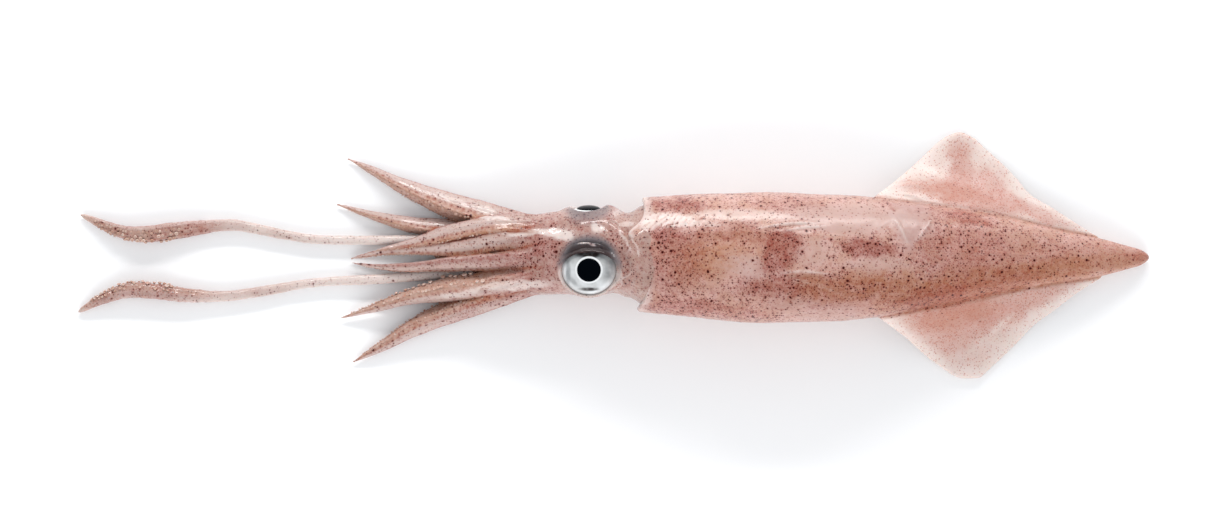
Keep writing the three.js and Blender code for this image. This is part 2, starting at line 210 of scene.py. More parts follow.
def cloudy(tree, place, size, low=0.3, high=0.7, to_low=0.0, to_high=1.0, **noise_kind):
    """The same noise with its middle part drawn out to run between two values."""
    return ramp(tree, cloud(tree, place, size, **noise_kind), low, high, to_low, to_high)


def mixed(tree, share, first, second):
    """Mixes two colours by a share."""
    return add_node(
        tree, "ShaderNodeMix", {0: share, 6: first, 7: second}, data_type="RGBA"
    ).outputs[2]


def new_material(name, even):
    """A material, its tree and its Principled shader, with the inputs that are even all over."""
    material = bpy.data.materials.new(name)
    material.use_nodes = True
    shader = material.node_tree.nodes["Principled BSDF"]
    for key, value in even.items():
        shader.inputs[key].default_value = value
    print("material", name)
    return material, material.node_tree, shader


# %% [markdown]
# ## The floor
#
# A plain pale board, so that nothing competes with the skin. One big quad is enough for it. It is
# staging and not part of the squid.

# %% Floor
FLOOR_HALF = 3.0  # metres
FLOOR_DROP = 0.2 * MM  # keeps it clear of the undersides

mesh = bpy.data.meshes.new("floor")
mesh.from_pydata([(FLOOR_HALF * x, FLOOR_HALF * y, 0) for x, y in ((-1, -1), (1, -1), (1, 1), (-1, 1))], [],
                 [(0, 1, 2, 3)])
pale_board = {"Base Color": colour(250, 251, 252), "Roughness": 0.75, "Specular IOR Level": 0.2}
mesh.materials.append(new_material("pale board", pale_board)[0])
floor = bpy.data.objects.new("floor", mesh)
floor.location.z = -FLOOR_DROP
scene.collection.objects.link(floor)
floor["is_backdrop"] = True

# %% [markdown]
# ## Pigment spots
#
# A squid's colour sits in chromatophores: tiny bags of dark pigment in the skin that can open wide or
# shut to a point. On a raw squid each is a round dark red-brown dot, half a millimetre to a millimetre
# across, with a faint red haze where the bag is spread out. Voronoi cells give one dot a cell, and each
# cell's random colour decides whether its dot is there and how big it is. As an image this would need
# a very large texture, and as geometry thousands of discs, so a node group is the light way.

# %% Group: pigment spots
def new_group(name, inputs, outputs):
    """An empty node group, the sockets that it is given and those that it fills."""
    group = bpy.data.node_groups.new(name, "ShaderNodeTree")
    sockets = group.interface
    sockets.new_socket("Place", in_out="INPUT", socket_type="NodeSocketVector")
    for key, start in inputs.items():
        sockets.new_socket(key, in_out="INPUT", socket_type="NodeSocketFloat").default_value = start
    for key in outputs:
        sockets.new_socket(key, in_out="OUTPUT", socket_type="NodeSocketFloat")
    print("group", name, "with", ["Place", *inputs], "gives", outputs)
    return group, group.nodes.new("NodeGroupInput").outputs, group.nodes.new("NodeGroupOutput").inputs


def make_spots_group():
    group, given, result = new_group(
        "pigment spots", {"Spacing": 2.0, "Size": 0.4, "Density": 0.5}, ["Spots", "Haze"]
    )
    where = {"Vector": given["Place"], "Scale": 1.6}
    ragged = add_node(group, "ShaderNodeTexNoise", where).outputs["Color"]
    nudged = add_node(
        group, "ShaderNodeVectorMath", {0: given["Place"], 1: scaled(group, ragged, 0.35)}, operation="ADD"
    ).outputs[0]
    in_cells = scaled(group, nudged, sum_up(group, "DIVIDE", 1.0, given["Spacing"]))
    cells = add_node(group, "ShaderNodeTexVoronoi", {"Vector": in_cells, "Scale": 1.0}).outputs
    chance = add_node(group, "ShaderNodeSeparateColor", {0: cells["Color"]}).outputs
    distance = times(group, cells["Distance"], given["Spacing"])
    radius = times(group, given["Size"], line(group, sum_up(group, "POWER", chance[0], 2.0), 0.95, 0.5))
    there = ramp(group, sum_up(group, "SUBTRACT", given["Density"], chance[1]), -0.02, 0.06)
    for name, outer, inner in (("Spots", 1.2, 0.7), ("Haze", 3.4, 0.8)):  # edges of the disc, in radii
        disc = ramp(group, distance, times(group, radius, outer), times(group, radius, inner))
        put(result[name], times(group, disc, there))
    return group


SPOTS = make_spots_group()


def spots_in(tree, place, spacing, size, density):
    """Places the group and returns its spots and their haze."""
    inputs = {"Place": place, "Spacing": spacing, "Size": size, "Density": density}
    made = add_node(tree, "ShaderNodeGroup", inputs, node_tree=SPOTS).outputs
    return made["Spots"], made["Haze"]


# %% [markdown]
# ## Wet relief
#
# Raw skin is never a perfect mirror. It has a pebbly grain finer than a millimetre and a slack,
# wrinkled waviness of a few millimetres. As geometry the grain would take millions of faces, and it
# never shows in the outline. So a group gives a height for both, and each material turns it into bumps
# at its own strength.

# %% Group: wet relief
BUMP_HEIGHT = 0.4 * MM


def make_relief_group():
    group, given, result = new_group("wet relief", {"Grain": 0.5, "Waviness": 0.5}, ["Height"])
    grain = times(group, cloud(group, given["Place"], 0.55, 3.0, 0.6), given["Grain"])
    slack = times(group, cloud(group, given["Place"], 3.4), given["Waviness"])
    put(result["Height"], sum_up(group, "ADD", grain, slack))
    return group


RELIEF = make_relief_group()


def bumps_in(tree, place, grain, waviness, strength):
    """Wet relief turned into a normal."""
    inputs = {"Place": place, "Grain": grain, "Waviness": waviness}
    height = add_node(tree, "ShaderNodeGroup", inputs, node_tree=RELIEF).outputs["Height"]
    return add_node(
        tree, "ShaderNodeBump", {"Strength": strength, "Distance": BUMP_HEIGHT, "Height": height}
    ).outputs["Normal"]


# %% [markdown]
# ## The skin material
#
# The skin of mantle, head, arms and tentacles is one thing with different shares of the same few
# colours, so one function builds it and each piece sets its own shares through values stored on its
# points:
#
# - flush: how much red-brown pigment lies there, as tint and as spots, and painted shade in the creases
#   between arms and on their steep sides
# - ochre: the yellow-brown of flanks, and painted shade in the hollows between arms and along the roots
#   of the fins
# - bare: pale flesh where the skin has rubbed off or is thin, with few spots; also painted highlights on
#   the head and arms, and part of a painted reflection of the floor on the mantle's left flank
# - glass: the clear whitish flesh of fin edges, tentacle stalks and the rim of the mantle, and painted
#   highlights on the back, fins, head, arms and clubs
# - slate: the grey sheen of the eye showing through the skin over it, and painted shade along the
#   mantle's edges, towards its left side and under its lip on the neck
# - stipple: thin skin whose spots are too fine to tell apart, as on the fins

# %% Skin colours
MANTLE_FLESH = colour(205, 167, 157), colour(195, 155, 139)
HEAD_FLESH = colour(180, 145, 136), colour(170, 138, 124)
MANTLE_BARE_SKIN = colour(194, 166, 160)
HEAD_BARE_SKIN = colour(205, 189, 185)
FLUSH_RED = colour(138, 59, 47)
FIN_PINK = colour(182, 106, 88)
ARM_ROSE = colour(136, 74, 62)
OCHRE = colour(172, 116, 76)
GLASS_CREAM = colour(227, 214, 208)
SLATE_MIST = colour(104, 104, 109)
SLATE_DEEP = colour(42, 34, 37)
SPOT_DARK = colour(66, 8, 5)
SPOT_HAZE = colour(140, 50, 40)


# %% Skin material
SHARES = "flush", "ochre", "bare", "glass", "slate", "stipple"
SKIN_WETNESS = {
    "Specular IOR Level": 0.25, "IOR": 1.38, "Coat IOR": 1.38,
    "Subsurface Weight": 0.18, "Subsurface Radius": (1.0, 0.45, 0.3), "Subsurface Scale": 0.9 * MM,
}


def skin_material(name, flesh, bare_skin, soft_red, spot_scale=1.0, gloss=0.12, strength=0.35):
    material, tree, shader = new_material(name, {**SKIN_WETNESS, "Coat Roughness": gloss})
    place = place_in_mm(tree)
    flush, ochre, bare, glass, slate, stipple = (stored(tree, share) for share in SHARES)

    skin = mixed(tree, cloudy(tree, place, 7.0, 0.35, 0.65, detail=3.0), *flesh)
    skin = mixed(tree, times(tree, bare, 0.85), skin, bare_skin)
    skin = mixed(tree, times(tree, glass, 0.95), skin, GLASS_CREAM)
    uneven = cloudy(tree, place, 2.4, 0.25, 0.75, -0.5, 0.4, detail=4.0, roughness=0.65)
    uneven = line(tree, uneven, line(tree, stipple, -0.7, 1.0), 1.0)  # calmer on stippled skin
    red = mixed(tree, stipple, FLUSH_RED, soft_red)
    for stain, strongest, pigment in ((ochre, 0.7, OCHRE), (flush, 0.58, red)):
        share = times(tree, stain, times(tree, uneven, strongest), clamp=True)
        skin = mixed(tree, share, skin, pigment)

    # fewer spots where the skin is bare or glassy, more where it is flushed
    open_skin = sum_up(tree, "SUBTRACT", 1.0, sum_up(tree, "MAXIMUM", bare, glass), clamp=True)
    coarse = times(tree, open_skin, sum_up(tree, "SUBTRACT", 1.0, stipple))
    wanted = line(tree, flush, 0.7, 0.45)
    patchy = line(tree, flush, 0.35, cloudy(tree, place, 9.0, 0.35, 0.65, 0.25, 0.75))
    spots = {}
    for kind, spacing, size, density in (
        ("large", 1.6, 0.42, times(tree, times(tree, wanted, coarse), patchy)),
        ("small", 0.8, 0.26, times(tree, wanted, line(tree, coarse, 0.94, 0.04))),
        ("fine", 0.55, 0.19, times(tree, wanted, open_skin)),
        ("speck", 0.66, 0.25, times(tree, stipple, line(tree, flush, 0.6, 0.45))),
    ):
        spots[kind] = spots_in(tree, place, spacing * spot_scale, size * spot_scale, density)
    for mask, strongest, pigment in (
        (spots["large"][1], 0.36, SPOT_HAZE), (spots["small"][1], 0.3, SPOT_HAZE),
        (spots["fine"][0], 0.62, SPOT_HAZE), (spots["speck"][0], 0.6, soft_red),
        (spots["small"][0], 0.88, SPOT_DARK), (spots["large"][0], 1.0, SPOT_DARK),
    ):
        skin = mixed(tree, times(tree, mask, strongest), skin, pigment)
    # slate: the grey eye seen through thin skin, and painted shade on the mantle and neck
    shade = mixed(tree, ramp(tree, slate, 0.5, 1.0), SLATE_MIST, SLATE_DEEP)
    skin = mixed(tree, ramp(tree, slate, 0.0, 0.8, 0.0, 0.94), skin, shade)

    put(shader.inputs["Base Color"], skin)
    put(shader.inputs["Roughness"], cloudy(tree, place, 1.7, to_low=0.36, to_high=0.54, detail=3.0))
    put(shader.inputs["Normal"], bumps_in(tree, place, 0.5, 0.5, strength))
    put(shader.inputs["Coat Weight"], ramp(tree, stipple, 0.8, 1.0, 0.85, 0.3))
    return material


# %% [markdown]
# ## Helpers for shapes
#
# The same few tools shape every piece: a smooth curve through given pairs, a rounded end, soft
# noise, soft marks and ridges, and functions that write points and faces as a Blender mesh and hook it
# to the solids.

# %% Curves and noise
def through(pairs, x):
    """Reads a smooth curve through [place, value] pairs, with no overshoot between them."""
    places, values = np.array(pairs, float).T
    step = np.diff(places)
    slope = np.diff(values) / step
    tangent = np.concatenate(([slope[0]], np.zeros(len(slope) - 1), [slope[-1]]))
    before, after = slope[:-1], slope[1:]
    same_way = before * after > 0
    tangent[1:-1][same_way] = (2 * before * after)[same_way] / (before + after)[same_way]
    x = np.clip(x, places[0], places[-1])
    i = np.clip(np.searchsorted(places, x, side="right") - 1, 0, len(step) - 1)
    t = (x - places[i]) / step[i]
    rise = 3 * t**2 - 2 * t**3
    bend = tangent[i] * t * (1 - t) ** 2 - tangent[i + 1] * t**2 * (1 - t)
    return values[i] * (1 - rise) + values[i + 1] * rise + bend * step[i]


def soft_step(value, low, high):
    t = np.clip((value - low) / (high - low), 0, 1)
    return t * t * (3 - 2 * t)


def hump(value, middle, half):
    """Rises to 1 at a middle and is down to about a third at half a width from it."""
    return np.exp(-(((value - middle) / half) ** 2))


def rounded(t, share):
    """Rises from 0 to 1 like a quarter circle over a share."""
    return np.sqrt(np.clip(1 - (1 - np.minimum(t / share, 1)) ** 2, 0, 1))


def signed_power(value, power):
    return np.sign(value) * np.abs(value) ** power


def wander(points, size, seed=0.0):
    """Soft noise from -1 to 1 at points, with blobs of a size in millimetres."""
    spots = (np.asarray(points, float).reshape(-1, 3) / size + seed).tolist()
    values = np.fromiter((noise.noise(p) for p in spots), float, len(spots))
    return values.reshape(np.shape(points)[:-1])


# %% Meshes from points
def write_mesh(name, points, faces, material, node, values):
    """A mesh piece from millimetres, with values on its points, hooked to the solid it stands for."""
    mesh = bpy.data.meshes.new(name)
    mesh.from_pydata((points * MM).tolist(), [], faces)
    mesh.validate()
    mesh.shade_smooth()
    for share in SHARES:
        held = mesh.attributes.new(share, "FLOAT", "POINT")
        if share in values:
            held.data.foreach_set("value", np.clip(values[share], 0, 1).astype(np.float32))
    mesh.materials.append(material)
    piece = bpy.data.objects.new(name, mesh)
    scene.collection.objects.link(piece)
    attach(piece, "root")
    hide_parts(node)
    triangles = sum(len(face.vertices) - 2 for face in mesh.polygons)
    print(f"{name}: {len(mesh.vertices)} points, {triangles} triangles")


def write_rings(name, rings, ends, material, node, values):
    """A closed piece from rings of points and one point at each end."""
    points = np.concatenate([rings.reshape(-1, 3), ends])
    ring = np.arange(len(points) - 2).reshape(rings.shape[:2])
    beside = np.roll(ring, -1, axis=1)
    faces = np.stack([ring[:-1], ring[1:], beside[1:], beside[:-1]], axis=-1).reshape(-1, 4).tolist()
    first, last = len(points) - 2, len(points) - 1
    faces += [[first, int(a), int(b)] for a, b in zip(ring[0], beside[0])]
    faces += [[last, int(b), int(a)] for a, b in zip(ring[-1], beside[-1])]
    values = {key: np.concatenate([v.ravel(), [v[0].mean(), v[-1].mean()]]) for key, v in values.items()}
    write_mesh(name, points, faces, material, node, values)


def ring_normals(rings):
    """Outward normals of rings of points."""
    along = np.gradient(rings, axis=0)
    around = np.roll(rings, -1, axis=1) - np.roll(rings, 1, axis=1)
    normal = np.cross(along, around)
    return normal / (np.linalg.norm(normal, axis=-1, keepdims=True) + 1e-9)


# %% Marks and ridges
def marks(x, y, table, edge=1.0):
    """Soft oval marks at x, y: each is [x, y, half length, half width, turn in degrees, strength]."""
    left = np.ones(np.shape(x))
    for at_x, at_y, half_long, half_wide, turn, strength in table:
        turn = math.radians(turn)
        u = ((x - at_x) * math.cos(turn) + (y - at_y) * math.sin(turn)) / half_long
        v = ((y - at_y) * math.cos(turn) - (x - at_x) * math.sin(turn)) / half_wide
        left = left * (1 - strength * (1 - soft_step(np.hypot(u, v), 1 - edge, 1 + edge)))
    return 1 - left


def ridge_height(x, y, table, bow, fade):
    """Height of bowed ridges at x, y: each is [start, end, half width, height]."""
    total = np.zeros(np.shape(x))
    for (x0, y0), (x1, y1), half, height in table:
        length = math.hypot(x1 - x0, y1 - y0)
        u = ((x - x0) * (x1 - x0) + (y - y0) * (y1 - y0)) / length**2
        sideways = ((y - y0) * (x1 - x0) - (x - x0) * (y1 - y0)) / length
        sideways = sideways - bow * length * np.sin(math.pi * np.clip(u, 0, 1))
        within = soft_step(u, -0.05, fade) * (1 - soft_step(u, 1 - fade, 1.05))
        total += height * within * hump(sideways, 0, half)
    return total


# %% [markdown]
# ## The mantle
#
# The mantle is the squid's body: a tube of muscle, open at the front round the neck, that closes to a
# point at the tail and carries two fins. It could be sculpted from a cylinder, but its form is a loft:
# one section that changes along X. Width and height are read from curves, and over the last half the
# side of the section is drawn out into a fin. The numbers are the ones of the solid, with many more
# rows, and small waves are laid over them.

# %% Mantle sizes
MANTLE_LENGTH = 204
TAIL_X = round(SOLIDS_BOX[1][0] / MM, 1)
LOBE_REACH = 8
LOBE_SPREAD = 0.22
CORNER_REACH = {"right": 2.6, "left": 4.6}
FRONT_SET_BACK = 3.9
FRONT_X = TAIL_X - MANTLE_LENGTH + LOBE_REACH - FRONT_SET_BACK
WALL = 2.4
CAVITY_DEPTH = 15
FRONT_FADE = 9  # length over which the form of the front edge fades
ROLL = math.radians(22)
BELLY_SINK = 0.025
TAIL_TIP_HEIGHT = 2
TAIL_ROUNDING = 5
FIN_EDGE_HEIGHT = 1.1
FIN_ROOT_ANGLE = 0.13
FIN_FALL = 13  # how far out a fin has sunk most of the way to the floor
MANTLE_HALF_WIDTH = [
    [FRONT_X, 22.4], [30, 24], [62, 25.6], [85, 24.7], [103, 23.4], [120, 20.8],
    [148, 15.8], [172, 10.8], [190, 7.7], [203, 4.2], [TAIL_X, 2.4],
]
MANTLE_HALF_HEIGHT = [
    [FRONT_X, 17.5], [35, 19.2], [65, 20], [95, 18.8], [120, 15.8],
    [148, 11.8], [172, 8.3], [190, 5.9], [203, 3.6], [TAIL_X, 2.2],
]
MANTLE_SWAY = [
    [FRONT_X, 0.6], [30, 0.1], [60, -0.6], [95, -0.8], [125, -0.1], [150, 0.6], [195, -0.6], [TAIL_X, -0.6],
]
RIGHT_FIN = [
    [101.5, 22.6], [109, 28.4], [117.4, 35.4], [131, 47.1], [135.8, 48.6], [141, 46.6],
    [146, 42.1], [151.8, 36.9], [158, 30.6], [163, 24.6], [172.5, 18.6], [181, 13.1], [190, 7.6],
]
LEFT_FIN = [
    [103.5, 24.2], [113.3, 31.2], [126.2, 42.1], [137.4, 48.1], [143, 48],
    [148.6, 43.3], [157.5, 35], [164.6, 27.5], [172.5, 21.7], [181, 15.1], [191, 8.8],
]

print("mantle from", round(FRONT_X, 1), "to", TAIL_X)

# %% Mantle section
BACK_STEPS, BELLY_STEPS, FIN_STEPS = 128, 56, 60


def mantle_columns():
    """Angle, share of the fin's reach and side of each column round the section."""
    def arc(start, steps):
        return start + FIN_ROOT_ANGLE + np.arange(steps) / steps * (math.pi - 2 * FIN_ROOT_ANGLE)

    across = 1 - 2 * np.arange(FIN_STEPS) / FIN_STEPS
    fin = FIN_ROOT_ANGLE * signed_power(across, 0.5)
    angle = np.concatenate([arc(0, BACK_STEPS), math.pi - fin, arc(math.pi, BELLY_STEPS), -fin])
    back, belly, on_fin = np.zeros(BACK_STEPS), np.zeros(BELLY_STEPS), np.ones(FIN_STEPS)
    out = np.concatenate([back, 1 - np.abs(across), belly, 1 - np.abs(across)])
    return angle, out, np.concatenate([back, -on_fin, belly, on_fin])


print("columns round the mantle", len(mantle_columns()[0]))


def front_reach(angle):
    """How far the front edge reaches forwards: a blunt lobe on the back and a corner at each side."""
    from_back = np.angle(np.exp(1j * (angle - math.pi / 2 + ROLL)))
    lobe = LOBE_REACH / (1 + (from_back / LOBE_SPREAD) ** 2)
    corner = np.where(np.cos(angle) > 0, CORNER_REACH["right"], CORNER_REACH["left"])
    return lobe + corner * np.cos(angle) ** 4 - FRONT_SET_BACK


# %% Mantle rows
TIP_LENGTH, TIP_ROWS = 18, 20
FIN_START, FIN_ROWS, TUBE_ROWS = 98, 151, 107
LIP_RADIUS, LIP_ROWS, CAVITY_ROWS = 0.6, 8, 12


def mantle_rows():
    """Place along X of each ring and how far it is inside the outer skin, from tail to cavity."""
    tip = TAIL_X - TIP_LENGTH * (np.arange(1, TIP_ROWS + 1) / TIP_ROWS) ** 1.9
    fins = np.linspace(tip[-1], FIN_START, FIN_ROWS + 1)[1:]
    tube = np.linspace(FIN_START, FRONT_X + LIP_RADIUS, TUBE_ROWS + 1)[1:]
    turn = np.linspace(0, math.pi, LIP_ROWS + 1)[1:]
    lip = FRONT_X + LIP_RADIUS - np.sin(turn)
    cavity = np.linspace(FRONT_X + 0.9, FRONT_X + CAVITY_DEPTH, CAVITY_ROWS)
    outer = np.zeros(TIP_ROWS + FIN_ROWS + TUBE_ROWS)
    inset = np.concatenate([outer, WALL * (1 - np.cos(turn)) / 2, np.full(CAVITY_ROWS, WALL)])
    return np.concatenate([tip, fins, tube, lip, cavity]), inset


print("rings along the mantle", len(mantle_rows()[0]))


# %% Mantle rings
def mantle_rings():
    """The points of the mantle as rings, with the values that its colours need."""
    x, inset = (a[:, None] for a in mantle_rows())
    angle, out, side = (a[None, :] for a in mantle_columns())
    tail = rounded(TAIL_X - x, TAIL_ROUNDING)
    half_width = np.maximum(through(MANTLE_HALF_WIDTH, x) * tail - inset, 0.05)
    half_height = np.maximum(through(MANTLE_HALF_HEIGHT, x) * tail - inset, 0.05)
    middle = np.maximum(through(MANTLE_HALF_HEIGHT, x) * (1 - BELLY_SINK), TAIL_TIP_HEIGHT)
    squareness = np.where(np.sin(angle) < 0, 0.8, 1.0)
    sway = through(MANTLE_SWAY, x)
    y = sway + half_width * signed_power(np.cos(angle), squareness)
    z = middle + half_height * signed_power(np.sin(angle), squareness)

    reach = np.zeros(np.broadcast_shapes(x.shape, side.shape))
    for this_side, edge in ((1, RIGHT_FIN), (-1, LEFT_FIN)):
        inside = (x > edge[0][0]) & (x < edge[-1][0]) & (inset == 0) & (side == this_side)
        beyond = through(edge, x) - np.abs(sway * this_side + half_width)
        reach = np.where(inside, np.maximum(beyond, 0), reach)
    distance = reach * out
    fall = 1 - np.exp(-((distance / FIN_FALL) ** 1.5))
    y = y + side * distance
    z = z - fall * np.maximum(middle - FIN_EDGE_HEIGHT, 0)
    ripple = np.sin(x / 6.5 + side) * 0.45 + np.sin(x / 3.1 + 2 * side) * 0.2
    z = z + ripple * soft_step(distance, 8, 26) + 0.25 * soft_step(distance, 4, 20)

    forward = front_reach(angle) * np.exp(-(x - FRONT_X) / FRONT_FADE)
    rings = np.stack(np.broadcast_arrays(x - forward, y, z), axis=-1)
    return rings, {"angle": angle + 0 * x, "distance": distance, "reach": reach, "inset": inset + 0 * angle}


# %% [markdown]
# The muscle under the skin is slack after death, so the surface gets waves about a centimetre long,
# and finer creases across the front where the skin has bunched up. A thin ridge runs where the pen,
# the squid's inner stiffener, pushes up under the back, and small edges of torn skin stand proud. They
# could be bumps in the material, but real relief also catches the long highlight and shows in the mesh.

# %% Mantle relief
CREASES = [  # start, end, half width and height, in mm: folds and torn edges of the skin
    [(56, 10.6), (80, 12.6), 0.5, 0.6], [(65, 9.4), (83, 11.4), 0.5, 0.55],
    [(63, -6.8), (84, -7.2), 0.5, 0.5], [(66, -8.2), (92, -16.5), 0.5, 0.35],
    [(109, 15.5), (114.5, 4.6), 0.45, 0.4], [(124.5, 15.5), (117, 5), 0.45, 0.45],
    [(112, 24.4), (122, 21.6), 0.5, 0.55], [(121, 21.8), (131, 19.4), 0.5, 0.3],
    [(106, 26.3), (124, 27.6), 0.7, 0.5], [(122, 27.6), (130, 23.6), 0.5, 0.35],
]
CREASE_FORM = 0.04, 0.25  # bow as a share of the length, and the share over which an end fades


def relieve_mantle(rings, about):
    """Lays slack waves, creases and the pen's ridge over the rings."""
    normal = ring_normals(rings)
    x, y, z = np.moveaxis(rings, -1, 0)
    outside = about["inset"] == 0
    upper = soft_step(np.sin(about["angle"]), -0.3, 0.15) * outside
    slack = 0.42 * wander(rings, 17, 3.1) + 0.16 * wander(rings, 6, 8.7)
    bunched = hump(x, 24, 16) + 0.35
    slanted = np.stack([x - 0.9 * y, y * 0.35 + x * 0.1, z * 0.4], axis=-1)
    wrinkles = 0.17 * bunched * wander(slanted, 2.3, 5.5)
    tail_fade = 1 - soft_step(x, 160, 205)
    on_fin = soft_step(about["distance"], 1, 5)
    pen_angle = math.pi / 2 - ROLL * (1 - soft_step(x, 60, 170))
    pen = 0.3 * hump(about["angle"], pen_angle, 0.05) * soft_step(x, 20, 60) * tail_fade
    creases = ridge_height(x, y, CREASES, *CREASE_FORM)
    height = slack * (0.35 + 0.65 * tail_fade) * (1 - on_fin) + wrinkles * upper * (1 - on_fin)
    height = height + 0.12 * on_fin * wander(rings, 5, 1.7)
    height = height + upper * (creases + pen)
    rings = rings + normal * (height * outside)[..., None]
    rings[..., 2] = np.maximum(rings[..., 2], 0.0)
    return rings


# %% [markdown]
# The colour of a raw squid is patchy: flushed where its pigment bags stayed open, ochre on the flank
# where the flesh is thick, and whitish where the thin skin is rubbed off or torn. Some marks are painted
# light: a highlight band along the back, highlights on folds of the fins, and a reflection of the floor
# low on the left flank. The patches could be painted by hand, but a few soft oval marks with frayed
# edges are lighter, and can be changed one by one.

# %% Mantle marks
MANTLE_FLUSH = [  # x, y, half length, half width, turn, strength
    [24, 20.0, 10, 3.2, 0, 0.85], [21, 8.6, 6, 3.2, -12, 1.0], [23, -1, 12, 12, 0, 0.5],
    [64.5, 2.0, 7.5, 8.5, -25, 1.05], [64.5, 3.4, 5, 6.5, -35, 1.0], [100, 3.2, 10, 3.8, -4, 1.0],
    [46, 9, 15, 3.6, 0, 0.4], [63, -11.5, 12, 4.0, -4, 0.5], [24, -19.5, 16, 3, -2, 0.5],
    [42, -21.8, 18, 2.8, -6, 0.4], [69, 20.4, 14, 3, 0, 0.35], [84, -14, 30, 8, 0, 0.3],
    [133, 4, 20, 14, 0, 0.42], [157, -1, 28, 9, 0, 0.25], [124, -16.5, 15, 5, 12, 0.65],
    [147, -12.4, 20, 4, 14, 0.5], [138, 14.6, 9, 2.4, -14, 1.1], [116, 19, 12, 2, -8, 0.3],
    [190, 1, 24, 6, 0, 0.15], [207, -0.5, 5, 3, 0, 0.5],
]
MANTLE_OCHRE = [
    [35, -2, 12, 8, 0, 0.75], [48, 5.5, 14, 5, 0, 0.6], [92, -12, 26, 5.5, 3, 0.9],
    [122, -15, 20, 7, 8, 0.8], [152, -9.5, 34, 5, 9, 1.0], [165, 0, 26, 4, 2, 0.25],
    [190, -3, 24, 3.5, 6, 0.6], [139, -12, 18, 6, 12, 0.5],
    [134, -23, 16, 5, 12, 1.3], [132, 25, 15, 3, -10, 0.8],
]
# pale bare skin; the long mark at y -20.5 on the left flank is partly a painted reflection of the floor
MANTLE_BARE_AND_REFLECTION = [
    [50, -4.2, 9.5, 4.6, -12, 0.75], [90, 15, 22, 6, -2, 0.75], [77, 0.5, 8, 5, 0, 0.4],
    [103, -3.4, 12, 3.4, 0, 0.5], [80, -20.5, 22, 4.4, -4, 0.6], [116, 14, 9, 8, 0, 0.9],
    [115.5, 7.5, 3.2, 5.5, 0, 0.9],
]
# torn skin near the front of the back, and a painted highlight band along the back behind it
MANTLE_PEEL_AND_HIGHLIGHT = [
    [21, 14.0, 11, 2.9, -3, 1.0], [13.5, 12, 3.5, 2.6, 30, 0.9], [34, 12.8, 8, 1.2, -6, 0.5],
    [50, 16, 19, 2.1, -1, 0.5],
]
FIN_FLUSH = [
    [135.5, 33, 4.5, 12, 4, 0.7], [148, 28, 6, 8, -30, 0.5], [140, 22.5, 22, 5, -14, 0.8],
    [142, 28, 10, 6, -14, 0.5], [166, 17.5, 16, 3, -24, 0.7],
    [137, 44, 5, 4, 0, 0.35], [118, 27, 10, 2.5, -4, 0.3],
    [135, -25.5, 20, 9, 10, 0.74], [126, -21, 14, 5, 12, 0.6], [148, -21.5, 15, 6.5, 18, 0.62],
    [166, -16, 18, 4.5, 26, 0.68], [134, -33, 8, 4, 14, 0.4], [135, -38, 12, 6, 0, 0.22],
]
# pale stretched skin, and painted highlights on small folds of the fins
FIN_PALE_SKIN_AND_HIGHLIGHTS = [  # stretched skin and small folds that catch the light
    [122, 34.2, 6.5, 2.2, -18, 1.0], [112, 30.5, 7, 1.0, 35, 0.7], [111, 23.2, 9, 0.8, -8, 0.9],
    [150, 33, 9, 1.2, -50, 0.5], [127, -40, 9, 1.2, -45, 0.7], [118, -33, 9, 0.9, -42, 0.6],
    [152, -27, 6, 1.2, 42, 0.8], [143, -35, 8, 1.0, 40, 0.5],
]
print("marks on the mantle", sum(map(len, (MANTLE_FLUSH, MANTLE_OCHRE, MANTLE_BARE_AND_REFLECTION, MANTLE_PEEL_AND_HIGHLIGHT))),
      "and on the fins", len(FIN_FLUSH) + len(FIN_PALE_SKIN_AND_HIGHLIGHTS))


